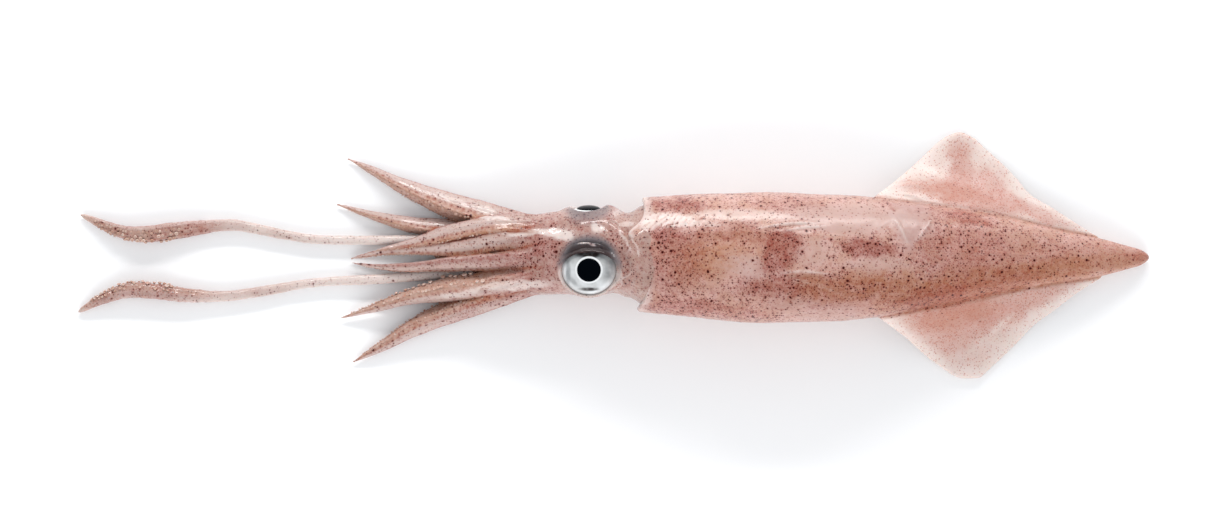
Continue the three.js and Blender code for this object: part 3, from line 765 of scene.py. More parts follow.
# %% Mantle colours
def mantle_values(rings, about):
    """Shares of the skin's colours on the mantle."""
    x, y, z = np.moveaxis(rings, -1, 0)
    height = np.sin(about["angle"])
    upper = soft_step(height, -0.45, -0.05)
    on_fin = soft_step(about["distance"], 0.1, 1.8)
    on_body = 1 - on_fin
    from_front = x - (FRONT_X - front_reach(about["angle"]))
    inside = soft_step(about["inset"], 0.3, 0.9)
    tail = soft_step(x, 110, 130)

    loose_x = x + 2.4 * wander(rings, 7, 11.3) + 1.3 * wander(rings, 2.6, 12.7)
    loose_y = y + 1.8 * wander(rings, 6, 17.9) + 1.1 * wander(rings, 2.4, 19.1)
    flush = marks(loose_x, loose_y, MANTLE_FLUSH, 0.5) * on_body
    flush = flush + on_fin * marks(loose_x, loose_y, FIN_FLUSH, 0.5) * np.where(y > 0, 1.1, 1.0)
    bare = marks(loose_x, loose_y, MANTLE_BARE_AND_REFLECTION, 0.4) * on_body
    ochre = marks(loose_x, loose_y, MANTLE_OCHRE, 0.6) * (1 - 0.5 * on_fin)

    # torn skin, frayed in slanting strands, and a painted highlight band on the back; pale skin and
    # painted highlights on the fins
    ragged = 0.8 * wander(np.stack([x - y, 2.5 * (x + y), z], axis=-1), 2.2, 41.0)
    strands = soft_step(np.sin(2.7 * (x - 0.8 * y) + 7 * wander(rings, 4, 43.0)), 0.2, 0.8)
    torn = 1 - 0.65 * strands * (1 - soft_step(x, 26, 36)) * soft_step(wander(rings, 2.6, 47.0), -0.4, 0.1)
    peel_and_highlight = marks(x + ragged, y + ragged, MANTLE_PEEL_AND_HIGHLIGHT, 0.22) * upper * on_body * torn
    highlights_and_pale_skin = marks(x + ragged, y + ragged, FIN_PALE_SKIN_AND_HIGHLIGHTS, 0.4) * on_fin

    # whitish: clear flesh at the edges of the fins and at the rim, corners and lip of the front, paler
    # crests of the creases, and the painted highlights of the back and fins
    thin_edge = 1 - soft_step(about["reach"] - about["distance"], 0.5, 8.0)
    rim = 1 - soft_step(from_front, 1.2, 3.4)
    corner = hump(from_front, 1.6, 1.3) * soft_step(np.abs(y), 13, 17)
    lip = (1 - soft_step(from_front, 0.5, 1.1)) * upper
    folded = np.clip(ridge_height(x, y, CREASES, *CREASE_FORM) / 0.45, 0, 1) * upper
    glass = np.maximum.reduce([
        0.2 * inside, 0.78 * peel_and_highlight, 0.45 * corner, 0.6 * lip, 0.7 * folded,
        on_fin * np.maximum(0.68 + 0.28 * thin_edge, 0.97 * highlights_and_pale_skin), 0.2 * (1 - upper),
    ])

    # painted shade: an ochre line along the roots of the fins, and greyer sides of the tube seen from above
    root = hump(about["distance"], 0, 1.2) * hump(height, 0, 0.2) * soft_step(x, 104, 112)
    side = hump(height, 0, 0.3) * on_body * (1 - soft_step(x, 100, 112))
    flank = 0.1 + 0.12 * soft_step(-y, 4, 14) + 0.04 * tail
    flush = flush * (0.35 + 0.65 * upper) + flank * on_body
    flush = flush * (1 - 0.8 * peel_and_highlight) * (1 - 0.8 * highlights_and_pale_skin)
    flush = flush * (1 - 0.7 * inside) * (1 - 0.4 * thin_edge * on_fin)
    return {
        "flush": flush,
        "ochre": (ochre + 0.06 * tail * on_body + 0.4 * root) * upper * (1 - peel_and_highlight) * (1 - highlights_and_pale_skin),
        "bare": np.maximum.reduce([bare * upper, 0.55 * (1 - upper) * on_body, 0.7 * rim, 0.7 * inside]),
        "glass": glass,
        # painted shade: greyer along the mantle's edges seen from above, and darker towards its left side
        "slate": 0.1 * side + 0.05 * soft_step(-y, 8, 18) * on_body,
        "stipple": np.maximum(on_fin, 0.3 * soft_step(x, 118, 135) + 0.2 * soft_step(x, 160, 200)),
    }


# %% Build the mantle
def make_mantle(material):
    rings, about = mantle_rings()
    rings = relieve_mantle(rings, about)
    ends = [[TAIL_X, rings[0, :, 1].mean(), TAIL_TIP_HEIGHT], rings[-1].mean(axis=0)]
    write_rings("mantle_skin", rings, ends, material, "mantle", mantle_values(rings, about))


make_mantle(skin_material("mantle skin", MANTLE_FLESH, MANTLE_BARE_SKIN, FIN_PINK, gloss=0.26))

# %% [markdown]
# ## Limbs
#
# A squid has eight arms round its mouth and two long tentacles that end in clubs. Each is a tapering
# limb along a route. To blend the arms into the head without a seam, the head is not lofted but
# described as a field: a number at every point of space that is below zero inside the flesh. Fields
# can be joined with a soft fillet, and sockets can be cut from them. A limb's field needs to know, for
# any point, how far along the limb it lies and at what angle round it.

# %% Smooth routes
def smooth_route(corners, samples=260):
    """An evenly spaced centripetal curve through corners, as the solid has, with its length."""
    p = np.array(corners, float)
    p = np.concatenate([[2 * p[0] - p[1]], p, [2 * p[-1] - p[-2]]])
    pieces = []
    for k in range(1, len(p) - 2):
        step = [max(np.linalg.norm(p[k + j] - p[k + j - 1]) ** 0.5, 1e-4) for j in range(3)]
        before, at, after = step
        out = (p[k] - p[k - 1]) / before - (p[k + 1] - p[k - 1]) / (before + at) + (p[k + 1] - p[k]) / at
        into = (p[k + 1] - p[k]) / at - (p[k + 2] - p[k]) / (at + after) + (p[k + 2] - p[k + 1]) / after
        out, into = out * at, into * at
        t = np.linspace(0, 1, 60, endpoint=False)[:, None]
        pieces.append(
            (2 * t**3 - 3 * t**2 + 1) * p[k] + (t**3 - 2 * t**2 + t) * out
            + (3 * t**2 - 2 * t**3) * p[k + 1] + (t**3 - t**2) * into
        )
    dense = np.concatenate(pieces + [p[-2][None]])
    run = np.concatenate([[0], np.cumsum(np.linalg.norm(np.diff(dense, axis=0), axis=1))])
    even = np.linspace(0, run[-1], samples)
    centre = np.stack([np.interp(even, run, dense[:, c]) for c in range(3)], axis=1)
    ahead = np.gradient(centre, axis=0)
    ahead /= np.linalg.norm(ahead, axis=1, keepdims=True)
    side = np.cross(ahead, [0, 0, 1])
    side /= np.linalg.norm(side, axis=1, keepdims=True)
    over = np.cross(side, ahead)
    return {"centre": centre, "ahead": ahead, "side": side, "over": over, "length": run[-1]}


# %% Places along a limb
def along_route(route, key, share):
    """A vector of the route at shares of its length."""
    places = np.linspace(0, 1, len(route[key]))
    return np.stack([np.interp(share, places, route[key][:, c]) for c in range(3)], axis=-1)


def limb_place(route, points, tall):
    """For points: the share of the limb's length, the angle round it and the distance from its middle."""
    towards = route["centre"][::-1, 0]
    share = np.interp(points[..., 0], towards, np.linspace(1, 0, len(towards)))
    for _ in range(3):
        offset = points - along_route(route, "centre", share)
        ahead = along_route(route, "ahead", share)
        share = np.clip(share + (offset * ahead).sum(-1) / route["length"], 0, 1)
    offset = points - along_route(route, "centre", share)
    sideways = (offset * along_route(route, "side", share)).sum(-1)
    upwards = (offset * along_route(route, "over", share)).sum(-1) / tall
    beyond = (offset * along_route(route, "ahead", share)).sum(-1)
    return share, np.arctan2(upwards, sideways), np.sqrt(sideways**2 + upwards**2 + beyond**2)


# %% [markdown]
# An arm's section is a rounded wedge: a keel along its outer side, and on the inner side a flat face
# for the suckers between two thin edges of skin. An oval would be simpler, but the arms would look
# like sausages. So the section is made of four faces whose corners are rounded by a high power.

# %% Arm sizes
# half: half width against the share of the length; suckers: the way they face, in degrees from +Y up;
# tall: height as a share of the width, where it isn't 1
ARMS = [
    {"name": "right 1", "suckers": -160,
     "half": [[0, 3.9], [0.35, 3.5], [0.5, 3], [0.65, 2], [0.8, 1.5], [0.91, 1.05], [0.97, 0.6], [1, 0.2]],
     "route": [[-19, 6, 20], [-32.5, 7.3, 19.3], [-46, 6, 16.2], [-60, 3.3, 12], [-76, 2.5, 7.4],
               [-90, 1.7, 4], [-103, -0.9, 1.2]]},
    {"name": "right 2", "suckers": 160,
     "half": [[0, 4.4], [0.3, 4.2], [0.45, 3.8], [0.6, 3.5], [0.7, 3], [0.8, 2.2], [0.88, 1.5],
              [0.95, 0.9], [1, 0.3]],
     "route": [[-20, 9.4, 17], [-33, 12, 17], [-45, 12.3, 15], [-56, 10.6, 12], [-67, 8, 9],
               [-80, 4.7, 6], [-93, 2.4, 4.4]]},
    {"name": "right 3", "suckers": 152,
     "half": [[0, 4.4], [0.3, 4.95], [0.45, 4.9], [0.65, 3.65], [0.8, 2.25], [0.91, 1.3], [0.97, 0.65],
              [1, 0.25]],
     "route": [[-20, 7.8, 12], [-35, 11.9, 10.8], [-52, 16.5, 7], [-68, 21.6, 4.2], [-84, 28.2, 2.6],
               [-95, 33.8, 1.7], [-104.4, 38.1, 0.9]]},
    {"name": "right 4", "suckers": 152,
     "half": [[0, 3.4], [0.3, 4.3], [0.45, 4.3], [0.55, 3.6], [0.65, 3.05], [0.8, 1.9], [0.91, 1.1],
              [0.97, 0.65], [1, 0.25]],
     "route": [[-20, 3.3, 8], [-40, 7.1, 5.2], [-62, 10.4, 3.9], [-79, 12.4, 2.9], [-93, 15.6, 1.9],
               [-108.6, 20.2, 0.9]]},
    {"name": "left 1", "tall": 0.8, "suckers": -105,
     "half": [[0, 4.6], [0.3, 4.4], [0.42, 3.9], [0.55, 3.55], [0.65, 2.85], [0.8, 1.95], [0.91, 1.1],
              [0.97, 0.65], [1, 0.25]],
     "route": [[-19, 0, 20.5], [-36, -0.9, 19.2], [-50, -1.9, 15.4], [-64.5, -2.8, 11], [-80, -4.1, 6.8],
               [-92, -4.1, 4], [-102.6, -2.8, 1.6]]},
    {"name": "left 2", "suckers": 36,
     "half": [[0, 4.6], [0.35, 5], [0.5, 4.8], [0.57, 4.2], [0.65, 3.2], [0.8, 2.05], [0.91, 1.15],
              [0.97, 0.65], [1, 0.25]],
     "route": [[-19, -5, 17.5], [-35, -8.5, 16], [-51, -12, 11.8], [-66, -13.9, 8.2], [-82, -17, 4.9],
               [-95, -20.9, 2.8], [-107.2, -24.4, 1.1]]},
    {"name": "left 3", "suckers": 30,
     "half": [[0, 4], [0.3, 4.4], [0.45, 4.5], [0.55, 4.3], [0.65, 3.65], [0.8, 2.5], [0.91, 1.4],
              [0.97, 0.75], [1, 0.25]],
     "route": [[-19, -8, 12], [-33, -11.6, 10.4], [-50, -17.6, 6.8], [-66, -23, 4.4], [-79, -28.7, 3.2],
               [-90, -35.1, 2.2], [-102.4, -41.6, 0.9]]},
    {"name": "left 4", "tall": 0.8, "suckers": -90,
     "half": [[0, 4.4], [0.3, 4], [0.6, 2.8], [0.85, 1.4], [1, 0.25]],
     "route": [[-19, -6.3, 7.4], [-37, -8.2, 5.2], [-55, -11.4, 3.4], [-70, -14.2, 2.6], [-84, -17.2, 1.9],
               [-94, -19.8, 1]]},
]
for arm in ARMS:
    arm.setdefault("tall", 1)
    arm["path"] = smooth_route(arm["route"])
    arm["suckers"] = math.radians(arm["suckers"])
print("arm lengths in mm", {arm["name"]: round(arm["path"]["length"]) for arm in ARMS})

# %% Arm section
ARM_FACES = [(1, 0, 0.94), (-0.25, 0.968, 0.6), (-0.25, -0.968, 0.6), (-1, 0, 1.05)]
ARM_CORNER_POWER = 6
SKIN_EDGE = 0.72  # turn from the suckers to each of the two edges beside them
THINNEST = 0.42  # half width that the field's grid can still hold at a tip


def arm_half(arm, share):
    return np.maximum(through(arm["half"], share) * rounded(share, 0.05), THINNEST)


def turn_from(suckers, angle):
    """How far an angle is turned from the suckers, either way."""
    return np.abs(np.angle(np.exp(1j * (angle - suckers))))


def arm_section(arm, angle):
    """Share of the half width at an angle: a rounded wedge of four faces, with two edges of skin."""
    turn = turn_from(arm["suckers"], angle)
    total = 0
    for along, across, distance in ARM_FACES:
        closeness = (along * np.cos(turn) + across * np.sin(turn)) / distance
        total = total + np.maximum(closeness, 0) ** ARM_CORNER_POWER
    edges, muscle = 0.05 * hump(turn, SKIN_EDGE, 0.14), 0.1 * hump(turn, 1.9, 0.4)
    return total ** (-1 / ARM_CORNER_POWER) + edges + muscle


keel_reach = arm_section(ARMS[0], ARMS[0]["suckers"] + math.pi)
print("an arm's keel stands out to", round(float(keel_reach), 2), "of its half width")

# %% [markdown]
# ## The head
#
# The head is a short barrel with a neck that slips into the mantle. Each eye bulges under a dome of
# skin that is open over the iris. The field is made on a grid of half-millimetre cubes: the barrel,
# joined softly with the arms at the crown and with a dome over each eye, less the two sockets and the
# openings of the lids. OpenVDB, which comes with Blender, turns it into a mesh.

# %% Head sizes
HEAD_HALF_WIDTH = [
    [-71, 0], [-68, 3.2], [-60, 6.8], [-50, 10], [-38, 13.2], [-29, 15.9], [-21.5, 16.3], [-10, 17.9],
    [-4, 17.6], [3.5, 16.5], [12, 17.5], [18, 15], [21, 0],
]
HEAD_HALF_HEIGHT = [
    [-71, 0], [-68, 1.8], [-60, 4.4], [-50, 7], [-38, 10], [-29, 12.8], [-21.5, 14], [-10, 15.6],
    [-4, 15.2], [3.5, 14.2], [12, 14.2], [18, 12.5], [21, 0],
]
HEAD_SWAY = [[-71, 0], [-50, 0.8], [-29, 0.9], [-10, 2.2], [-1, 2.5], [5, 0.4], [12, 0.3], [21, 0.3]]
HEAD_MIDDLE = [
    [-71, 2.9], [-60, 5.1], [-50, 8.3], [-38, 11.2], [-21.5, 13.7], [-10, 15.3], [4, 15.7], [12, 16.9],
    [21, 17.1],
]
FUNNEL_ROUTE = smooth_route([[15, -4, 7], [4, -6, 5], [-9, -8, 3.6]])
FUNNEL_HALF, FUNNEL_TALL = 7.5, 0.5
EYE_RADIUS, EYE_DEPTH = 11, 7
SOCKET_GAP = -0.25
LENS_RADIUS, LENS_DEPTH, LENS_PROUD = 4.8, 1.5, 0.5
LID_THICKNESS = 1.2
EYES = [
    {"name": "left", "middle": (-9.8, -4.3, 24), "look": -11, "opening": -31, "lid": 1,
     "lids": (12.5, 9.5, 9), "ahead": 7.2, "brow": 1.6, "shade": 1.0, "fade": 0.4},
    {"name": "right", "middle": (-10, 12.3, 14.6), "look": 80, "opening": 89, "lid": -1,
     "lids": (7, 9.5, 9), "ahead": 8.4, "brow": 0.3, "shade": 0.55, "fade": 0.9},
]
FAR = 5.0  # fields are only needed this close to the flesh
GRID_STEP = 0.46
SLAB_ROWS = 24  # rows of the grid made at a time
GRID_CORNER = np.array([-112, -45, -1.5])
GRID_SIZE = np.array([134, 88, 36.5])
print("funnel", round(FUNNEL_ROUTE["length"], 1), "mm long")


# %% Turns and simple fields
def turned(points, degrees):
    """Points turned round the X axis."""
    cosine, sine = math.cos(math.radians(degrees)), math.sin(math.radians(degrees))
    x, y, z = np.moveaxis(points, -1, 0)
    return np.stack([x, y * cosine - z * sine, y * sine + z * cosine], -1)


def turned_to(points, middle, look):
    """Points seen from an eye, with its third axis along the way it looks."""
    return turned(points - np.array(middle), look)


def ball_field(local, radii):
    """Distance, nearly, from an oval ball round the origin."""
    radii = np.array(radii, float)
    size = np.linalg.norm(local / radii, axis=-1)
    steepness = np.linalg.norm(local / radii**2, axis=-1) + 1e-9
    return size * (size - 1) / steepness


def join(first, second, fillet):
    """Both fields as one, with a fillet where they meet."""
    h = np.clip(0.5 + 0.5 * (second - first) / fillet, 0, 1)
    return second + (first - second) * h - fillet * h * (1 - h)


def cut(field, tool, fillet):
    """A field less another, with a rounded edge."""
    return -join(-field, tool, fillet)


# %% Fields of the barrel, arms and funnel
def barrel_field(points):
    """The neck and skull."""
    x, y, z = np.moveaxis(points, -1, 0)
    under_arms = soft_step(-x, 28, 42)
    wide = through(HEAD_HALF_WIDTH, x) * (1 - 0.08 * under_arms) + 2.1 * soft_step(x, 6, 12)
    high = through(HEAD_HALF_HEIGHT, x) * (1 - 0.13 * under_arms) + 5.0 * soft_step(x, -1, 9)
    wide, high = np.maximum(wide, 0.3), np.maximum(high, 0.3)
    across = np.abs(y - through(HEAD_SWAY, x)) / wide
    up = (z - through(HEAD_MIDDLE, x)) / high
    power = np.where(up < 0, 2.35, 2.0)
    side = ((across**power + np.abs(up) ** power) ** (1 / power) - 1) * np.minimum(wide, high)
    return np.maximum(side, np.maximum(HEAD_HALF_WIDTH[0][0] - x, x - HEAD_HALF_WIDTH[-1][0]))


def near_route(route, points, half):
    """Which points are close enough to a limb for its field to matter."""
    low = route["centre"].min(axis=0) - half - FAR
    high = route["centre"].max(axis=0) + half + FAR
    return ((points > low) & (points < high)).all(axis=-1)


def arm_field(arm, points):
    """Distance, nearly, from an arm."""
    field = np.full(points.shape[:-1], FAR)
    near = near_route(arm["path"], points, 1.4 * max(half for _, half in arm["half"]))
    share, angle, distance = limb_place(arm["path"], points[near], arm["tall"])
    field[near] = (distance - arm_half(arm, share) * arm_section(arm, angle)) * arm["tall"]
    return field


def funnel_field(points):
    """The flat tube under the neck, with its mouth."""
    outside = np.full(points.shape[:-1], FAR)
    near = near_route(FUNNEL_ROUTE, points, FUNNEL_HALF)
    share, _, distance = limb_place(FUNNEL_ROUTE, points[near], FUNNEL_TALL)
    half = FUNNEL_HALF * rounded(share, 0.1) * rounded(1 - share, 0.06) * (1 - 0.45 * share)
    outside[near] = (distance - half) * FUNNEL_TALL
    mouth = ball_field(points - FUNNEL_ROUTE["centre"][-1], (7, 3.2, 1.7))
    return cut(outside, mouth, 0.3)


# %% Field of the whole head
def eye_field(eye, points, grown):
    """Distance, nearly, from an eyeball that has grown by a thickness."""
    radii = EYE_RADIUS + grown, EYE_RADIUS + grown, EYE_DEPTH + grown
    return ball_field(turned_to(points, eye["middle"], eye["look"]), radii)


def lid_opening(eye, points):
    """Distance, nearly, from the opening between an eye's lids."""
    return ball_field(turned_to(points, eye["middle"], eye["opening"]) - (0, 0, eye["ahead"]), eye["lids"])


def head_field(points):
    """The whole head, eight arms and funnel."""
    x, z = points[..., 0], points[..., 2]
    crown = 0.4 + 0.3 * soft_step(x, -52, -40) + 2.0 * soft_step(x, -37, -20)
    flesh = barrel_field(points)
    for arm in ARMS:
        flesh = join(flesh, arm_field(arm, points), crown)
    flesh = join(flesh, funnel_field(points), 1.0)
    for eye in EYES:
        flesh = join(flesh, eye_field(eye, points, LID_THICKNESS), 2.6)
    for eye in EYES:
        flesh = cut(flesh, eye_field(eye, points, SOCKET_GAP), 0.25)
        flesh = cut(flesh, lid_opening(eye, points), 0.9)
    return np.maximum(flesh, -z)


depth_inside = -head_field(np.array([[-30.0, 0.0, 14.0]]))[0]
print("a point in the skull lies about", round(float(depth_inside), 1), "mm under the skin")


# %% Head mesh
def field_to_mesh(field_of, corner, size, step):
    """Points and faces of the surface where a field is zero, made a slab at a time."""
    counts = np.ceil(size / step).astype(int)
    axes = [corner[c] + step * np.arange(counts[c]) for c in range(3)]
    values = np.empty(counts, np.float32)
    for start in range(0, counts[0], SLAB_ROWS):
        stop = min(start + SLAB_ROWS, counts[0])
        grid = np.stack(np.meshgrid(axes[0][start:stop], axes[1], axes[2], indexing="ij"), axis=-1)
        values[start:stop] = field_of(grid)
    volume = openvdb.FloatGrid(FAR)
    volume.copyFromArray(np.clip(values, -FAR, FAR))
    points, quads = volume.convertToQuads(isovalue=0.0)
    return points * step + corner, quads[:, ::-1].astype(int)


head_points, head_quads = field_to_mesh(head_field, GRID_CORNER, GRID_SIZE, GRID_STEP)
print("head", len(head_points), "points", 2 * len(head_quads), "triangles")

# %% [markdown]
# The cubes leave a faint grid, so the mesh is ironed: every point moves towards its neighbours and back
# again. Then the skin gets its own relief: slack waves, and folds round the neck where the head pulls
# back into the mantle. As real relief they also show at the edge and in the highlights.

# %% Iron the head
def ironed(points, quads, rounds=2, share=0.5):
    """Moves each point towards the middle of its neighbours, and back, so that nothing shrinks."""
    ends = np.concatenate([quads[:, [k, (k + 1) % 4]] for k in range(4)])
    here, there = np.concatenate([ends, ends[:, ::-1]]).T
    count = np.bincount(here)[:, None]
    for weight in [share, -share * 1.04] * rounds:
        middle = np.stack([np.bincount(here, points[there, c]) for c in range(3)], axis=1)
        points = points + weight * (middle / count - points)
    return points


rough_points = head_points
head_points = ironed(rough_points, head_quads)
moved = np.linalg.norm(head_points - rough_points, axis=1).mean()
print("ironing moved the head's points by", round(float(moved), 3), "mm on average")

# %% Head relief
NECK_FOLDS = [  # start, end, half width and height in mm
    [(-2.0, 13.9), (2.4, 10.4), 0.55, 0.5], [(-6, 12.2), (0.5, 6.6), 0.9, 0.3],
    [(3.4, 12), (5.5, 3.5), 0.7, 0.35], [(8.6, -2.5), (6.6, -11), 0.7, 0.45],
    [(3.2, -4.5), (2.6, -11.5), 0.7, 0.3], [(0.8, -14.5), (5.5, -15.6), 0.7, 0.4],
]
FOLD_FORM = 0.12, 0.3  # bow as a share of the length, and the share over which an end fades


def mesh_normals(points, quads):
    """Outward normals at the points of a mesh of quads."""
    cross = np.cross(points[quads[:, 2]] - points[quads[:, 0]], points[quads[:, 3]] - points[quads[:, 1]])
    normal = np.zeros_like(points)
    for corner in range(4):
        for c in range(3):
            normal[:, c] += np.bincount(quads[:, corner], cross[:, c], len(points))
    return normal / (np.linalg.norm(normal, axis=1, keepdims=True) + 1e-9)


# %% Nearest arms
def nearest_arms(points):
    """For points: share of the closest arm, turn from its suckers, and how close the next arm is."""
    found = []
    for arm in ARMS:
        share, angle, distance = limb_place(arm["path"], points, arm["tall"])
        gap = (distance - arm_half(arm, share) * arm_section(arm, angle)) * arm["tall"]
        found.append((gap, share, turn_from(arm["suckers"], angle)))
    gap, share, turn = (np.array(part) for part in zip(*found))
    order = np.argsort(gap, axis=0)
    closest, each = order[0], np.arange(len(points))
    return {
        "share": share[closest, each], "turn": turn[closest, each],
        "next": gap[order[1], each] - gap[closest, each],
    }


# %% Relieve the head
def relieved_head(points, quads, arms):
    """Lays slack waves, neck folds and brows over the head."""
    x, y, z = points.T
    on_arm = 1 - soft_step(x, -48, -30)
    thick = soft_step(z, 0.2, 2.5) * (1 - 0.6 * on_arm * soft_step(arms["share"], 0.5, 0.9))
    height = (0.3 * wander(points, 9, 2.2) + 0.13 * wander(points, 3.4, 4.9)) * thick
    height = height + soft_step(z, 15, 20) * ridge_height(x, y, NECK_FOLDS, *FOLD_FORM)
    for eye in EYES:
        local = turned_to(points, eye["middle"], eye["look"])
        over = soft_step(local[:, 1] * eye["lid"], -1, 5) * soft_step(local[:, 2], -1, 2)
        height = height + eye["brow"] * hump(lid_opening(eye, points), 3.0, 1.7) * over
    points = points + mesh_normals(points, quads) * height[:, None]
    points[:, 2] = np.maximum(points[:, 2], 0)
    return points


head_arms = nearest_arms(head_points)
head_points = relieved_head(head_points, head_quads, head_arms)
print("head relief laid over", len(head_points), "points")

# %% [markdown]
# ## Colours of the head and arms
#
# The outer keel of each arm carries a line of crowded dots. Its flanks are paler and the sucker side is
# yellowish. The hollows between arms get a painted ochre shade, with a painted dark line where two arms
# touch, and the steep sides of the arms more dots as painted shade. The neck gets a painted shadow under
# the mantle's lip. Over the left eye the skin is clear enough for the grey eye to show through. Eight
# arms would take hundreds of painted marks, so their colours follow from the place along an arm and
# round it. Only the skull and the painted highlights that lie on folds have marks.

# %% Head marks
HEAD_FLUSH = [  # x, y, half length, half width, turn, strength
    [-30, -2, 14, 12, 0, 0.6], [-27, 4, 8, 3.5, 0, 0.65], [-37, -12, 14, 5, 20, 0.7],
    [5, -6, 4, 9, -20, 0.45], [-4, 10, 10, 5, -25, 0.35], [-19, 12, 14, 3.6, 0, 0.45],
    [-44, -2.4, 10, 2.4, 0, 0.6], [-52, -19, 18, 3, 27, 0.6],
]
HEAD_PALE = [
    [10, -2, 5, 16, 0, 0.2], [1.5, -15, 6, 2.5, 0, 0.7], [4.6, 14.5, 5, 3, 0, 0.5], [12, -16, 4, 3, 0, 0.6],
]
# painted highlights: pale streaks and patches where the wet skin of the head, neck and arms would shine
HEAD_PAINTED_HIGHLIGHTS = [
    [-19.5, 8.2, 4.6, 2.4, 0, 0.85], [-28, 9.2, 9, 1.4, 3, 0.8], [-37, 8.6, 6, 0.8, 10, 0.6],
    [-6, 10.6, 2.6, 2.1, -30, 0.85], [1, 16.8, 2.6, 1.1, 25, 0.5],
    [5.4, 12.4, 4, 1.1, 5, 0.6], [4, 6.5, 6, 0.5, -60, 0.6],
    [8.2, 4, 5, 0.5, -70, 0.6], [3.5, -9.5, 5, 0.5, 50, 0.5], [-38, -11.4, 15, 2.0, 4, 0.7],
    [-46.5, 14.8, 8, 0.8, -8, 0.7], [-42, 9, 7, 0.7, -6, 0.7], [-62.5, 21.9, 9, 0.7, -20, 0.6],
    [-79, 26.6, 8, 0.6, -19, 0.5], [-50.5, 18, 4, 1.6, -15, 0.7], [-60, -14.6, 10, 1.2, 12, 0.6],
]
PITS_ALONG = 36  # reddish pits between the suckers along an arm
LID_GLEAM = [[-11.2, 5.9, 3.4, 1.0, 5, 1.0], [-8.5, 4.4, 1.4, 0.5, -20, 0.7]]
print("marks on the head", sum(map(len, (HEAD_FLUSH, HEAD_PALE, HEAD_PAINTED_HIGHLIGHTS, LID_GLEAM))))


# %% Head colours
def eye_shade(eye, points):
    """How much of the grey eye shows through the skin, and the pale rim of the lower lid."""
    local = turned_to(points, eye["middle"], eye["look"])
    beyond = lid_opening(eye, points)
    in_front = soft_step(local[:, 2], -1, 2)
    upper_lid = soft_step(local[:, 1] * eye["lid"], -3.0, 4.0) * in_front
    depth = beyond / (8.8 * np.sqrt(np.clip(1 - (local[:, 0] / 14.0) ** 2, 0.02, 1)))
    shade = 1 - 0.12 * soft_step(beyond, 0.9, 2.0) - 0.88 * soft_step(depth, 0.3, 1.15)
    sides = 1 - eye["fade"] * soft_step(np.abs(local[:, 0]), 6, 12)
    rim = 0.85 * hump(beyond, 0, 0.9) * (1 - upper_lid) * in_front
    return shade * upper_lid * sides * eye["shade"], rim


def head_values(points, quads, arms):
    """Shares of the skin's colours on the head and arms."""
    x, y, _ = points.T
    share, turn, next_arm = arms["share"], arms["turn"], arms["next"]
    armed = 1 - soft_step(x, -52, -26)
    level = mesh_normals(points, quads)[:, 2]
    upper = soft_step(level, -0.3, 0.2)

    # along the arms
    keel = hump(turn, math.pi, 0.35) * armed
    inner = (1 - soft_step(turn, 0.9, 1.5)) * armed
    flank = hump(turn, 1.8, 0.45) * armed
    # painted shade: steep sides of the arms get more dots, so that their edges look darker from above
    side = (1 - soft_step(np.abs(level), 0.15, 0.6)) * armed
    beat = 0.5 + 0.5 * np.cos(share * 2 * math.pi * PITS_ALONG)
    pits = hump(turn, 1.05, 0.17) * beat * armed * soft_step(share, 0.3, 0.4)
    # painted shade: ochre in the hollows between arms, and a dark line where two arms touch
    groove_shade = (1 - soft_step(next_arm, 0.2, 2.4)) * soft_step(-x, 26, 36) * (1 - soft_step(-x, 62, 80))
    crease_shade = hump(next_arm, 0, 0.5) * soft_step(-x, 28, 36) * (1 - soft_step(-x, 80, 92))

    # over the head
    loose_x, loose_y = x + 1.6 * wander(points, 5, 21.5), y + 1.2 * wander(points, 4, 27.3)
    pale = marks(loose_x, loose_y, HEAD_PALE, 0.5)
    highlights_and_pale_skin = marks(loose_x, loose_y, HEAD_PAINTED_HIGHLIGHTS, 0.4)
    flush = marks(loose_x, loose_y, HEAD_FLUSH, 0.6) * (1 - pale)
    sheen = 0.14 + 0.1 * wander(points, 12, 33.0)
    gleam = marks(x, y, LID_GLEAM, 0.4) * upper
    neck = soft_step(x, -1, 5) * (1 - highlights_and_pale_skin)
    # a darker, greyer neck, and a painted shadow under the mantle's lip
    slate = 0.14 * neck + 0.06 * soft_step(x, 9, 11.5)
    for eye in EYES:
        shade, pale_rim = eye_shade(eye, points)
        slate, highlights_and_pale_skin = np.maximum(slate, shade), np.maximum(highlights_and_pale_skin, pale_rim)
    # painted glints over the left eye join the painted highlights and the pale rim of the lower lid
    highlights_and_pale_skin = np.maximum(highlights_and_pale_skin, gleam)
    dots = 0.04 + 0.2 * (1 - armed) + 0.5 * flush + 0.9 * keel + 0.9 * pits + 0.3 * side + sheen
    return {
        "flush": dots * (1 - 0.8 * highlights_and_pale_skin) + 0.7 * crease_shade,
        "ochre": (0.6 * groove_shade + 0.65 * inner) * (1 - 0.7 * highlights_and_pale_skin) + 0.5 * crease_shade + 0.28 * neck,
        "bare": np.maximum.reduce([0.5 * pale, 0.5 * flank * (1 - crease_shade), highlights_and_pale_skin, 0.45 * armed]),
        "glass": np.maximum.reduce([highlights_and_pale_skin, 0.3 * (1 - upper), 0.5 * sheen, 0.22 * armed * (1 - crease_shade)]),
        "slate": slate * (1 - 0.9 * gleam),
        "stipple": np.maximum(0.7 * pale, 0.3 * armed),
    }


write_mesh(
    "head_skin", head_points, head_quads.tolist(),
    skin_material("head skin", HEAD_FLESH, HEAD_BARE_SKIN, ARM_ROSE, gloss=0.1, strength=0.5),
    "head", head_values(head_points, head_quads, head_arms),
)

# %% [markdown]
# ## Tentacles
#
# The two feeding tentacles are long smooth stalks, nearly without spots, that swell into clubs with
# four rows of suckers. They could be part of the head's field, but its cubes are coarse for something
# so thin. So each is a loft of its own, which runs on into the head.

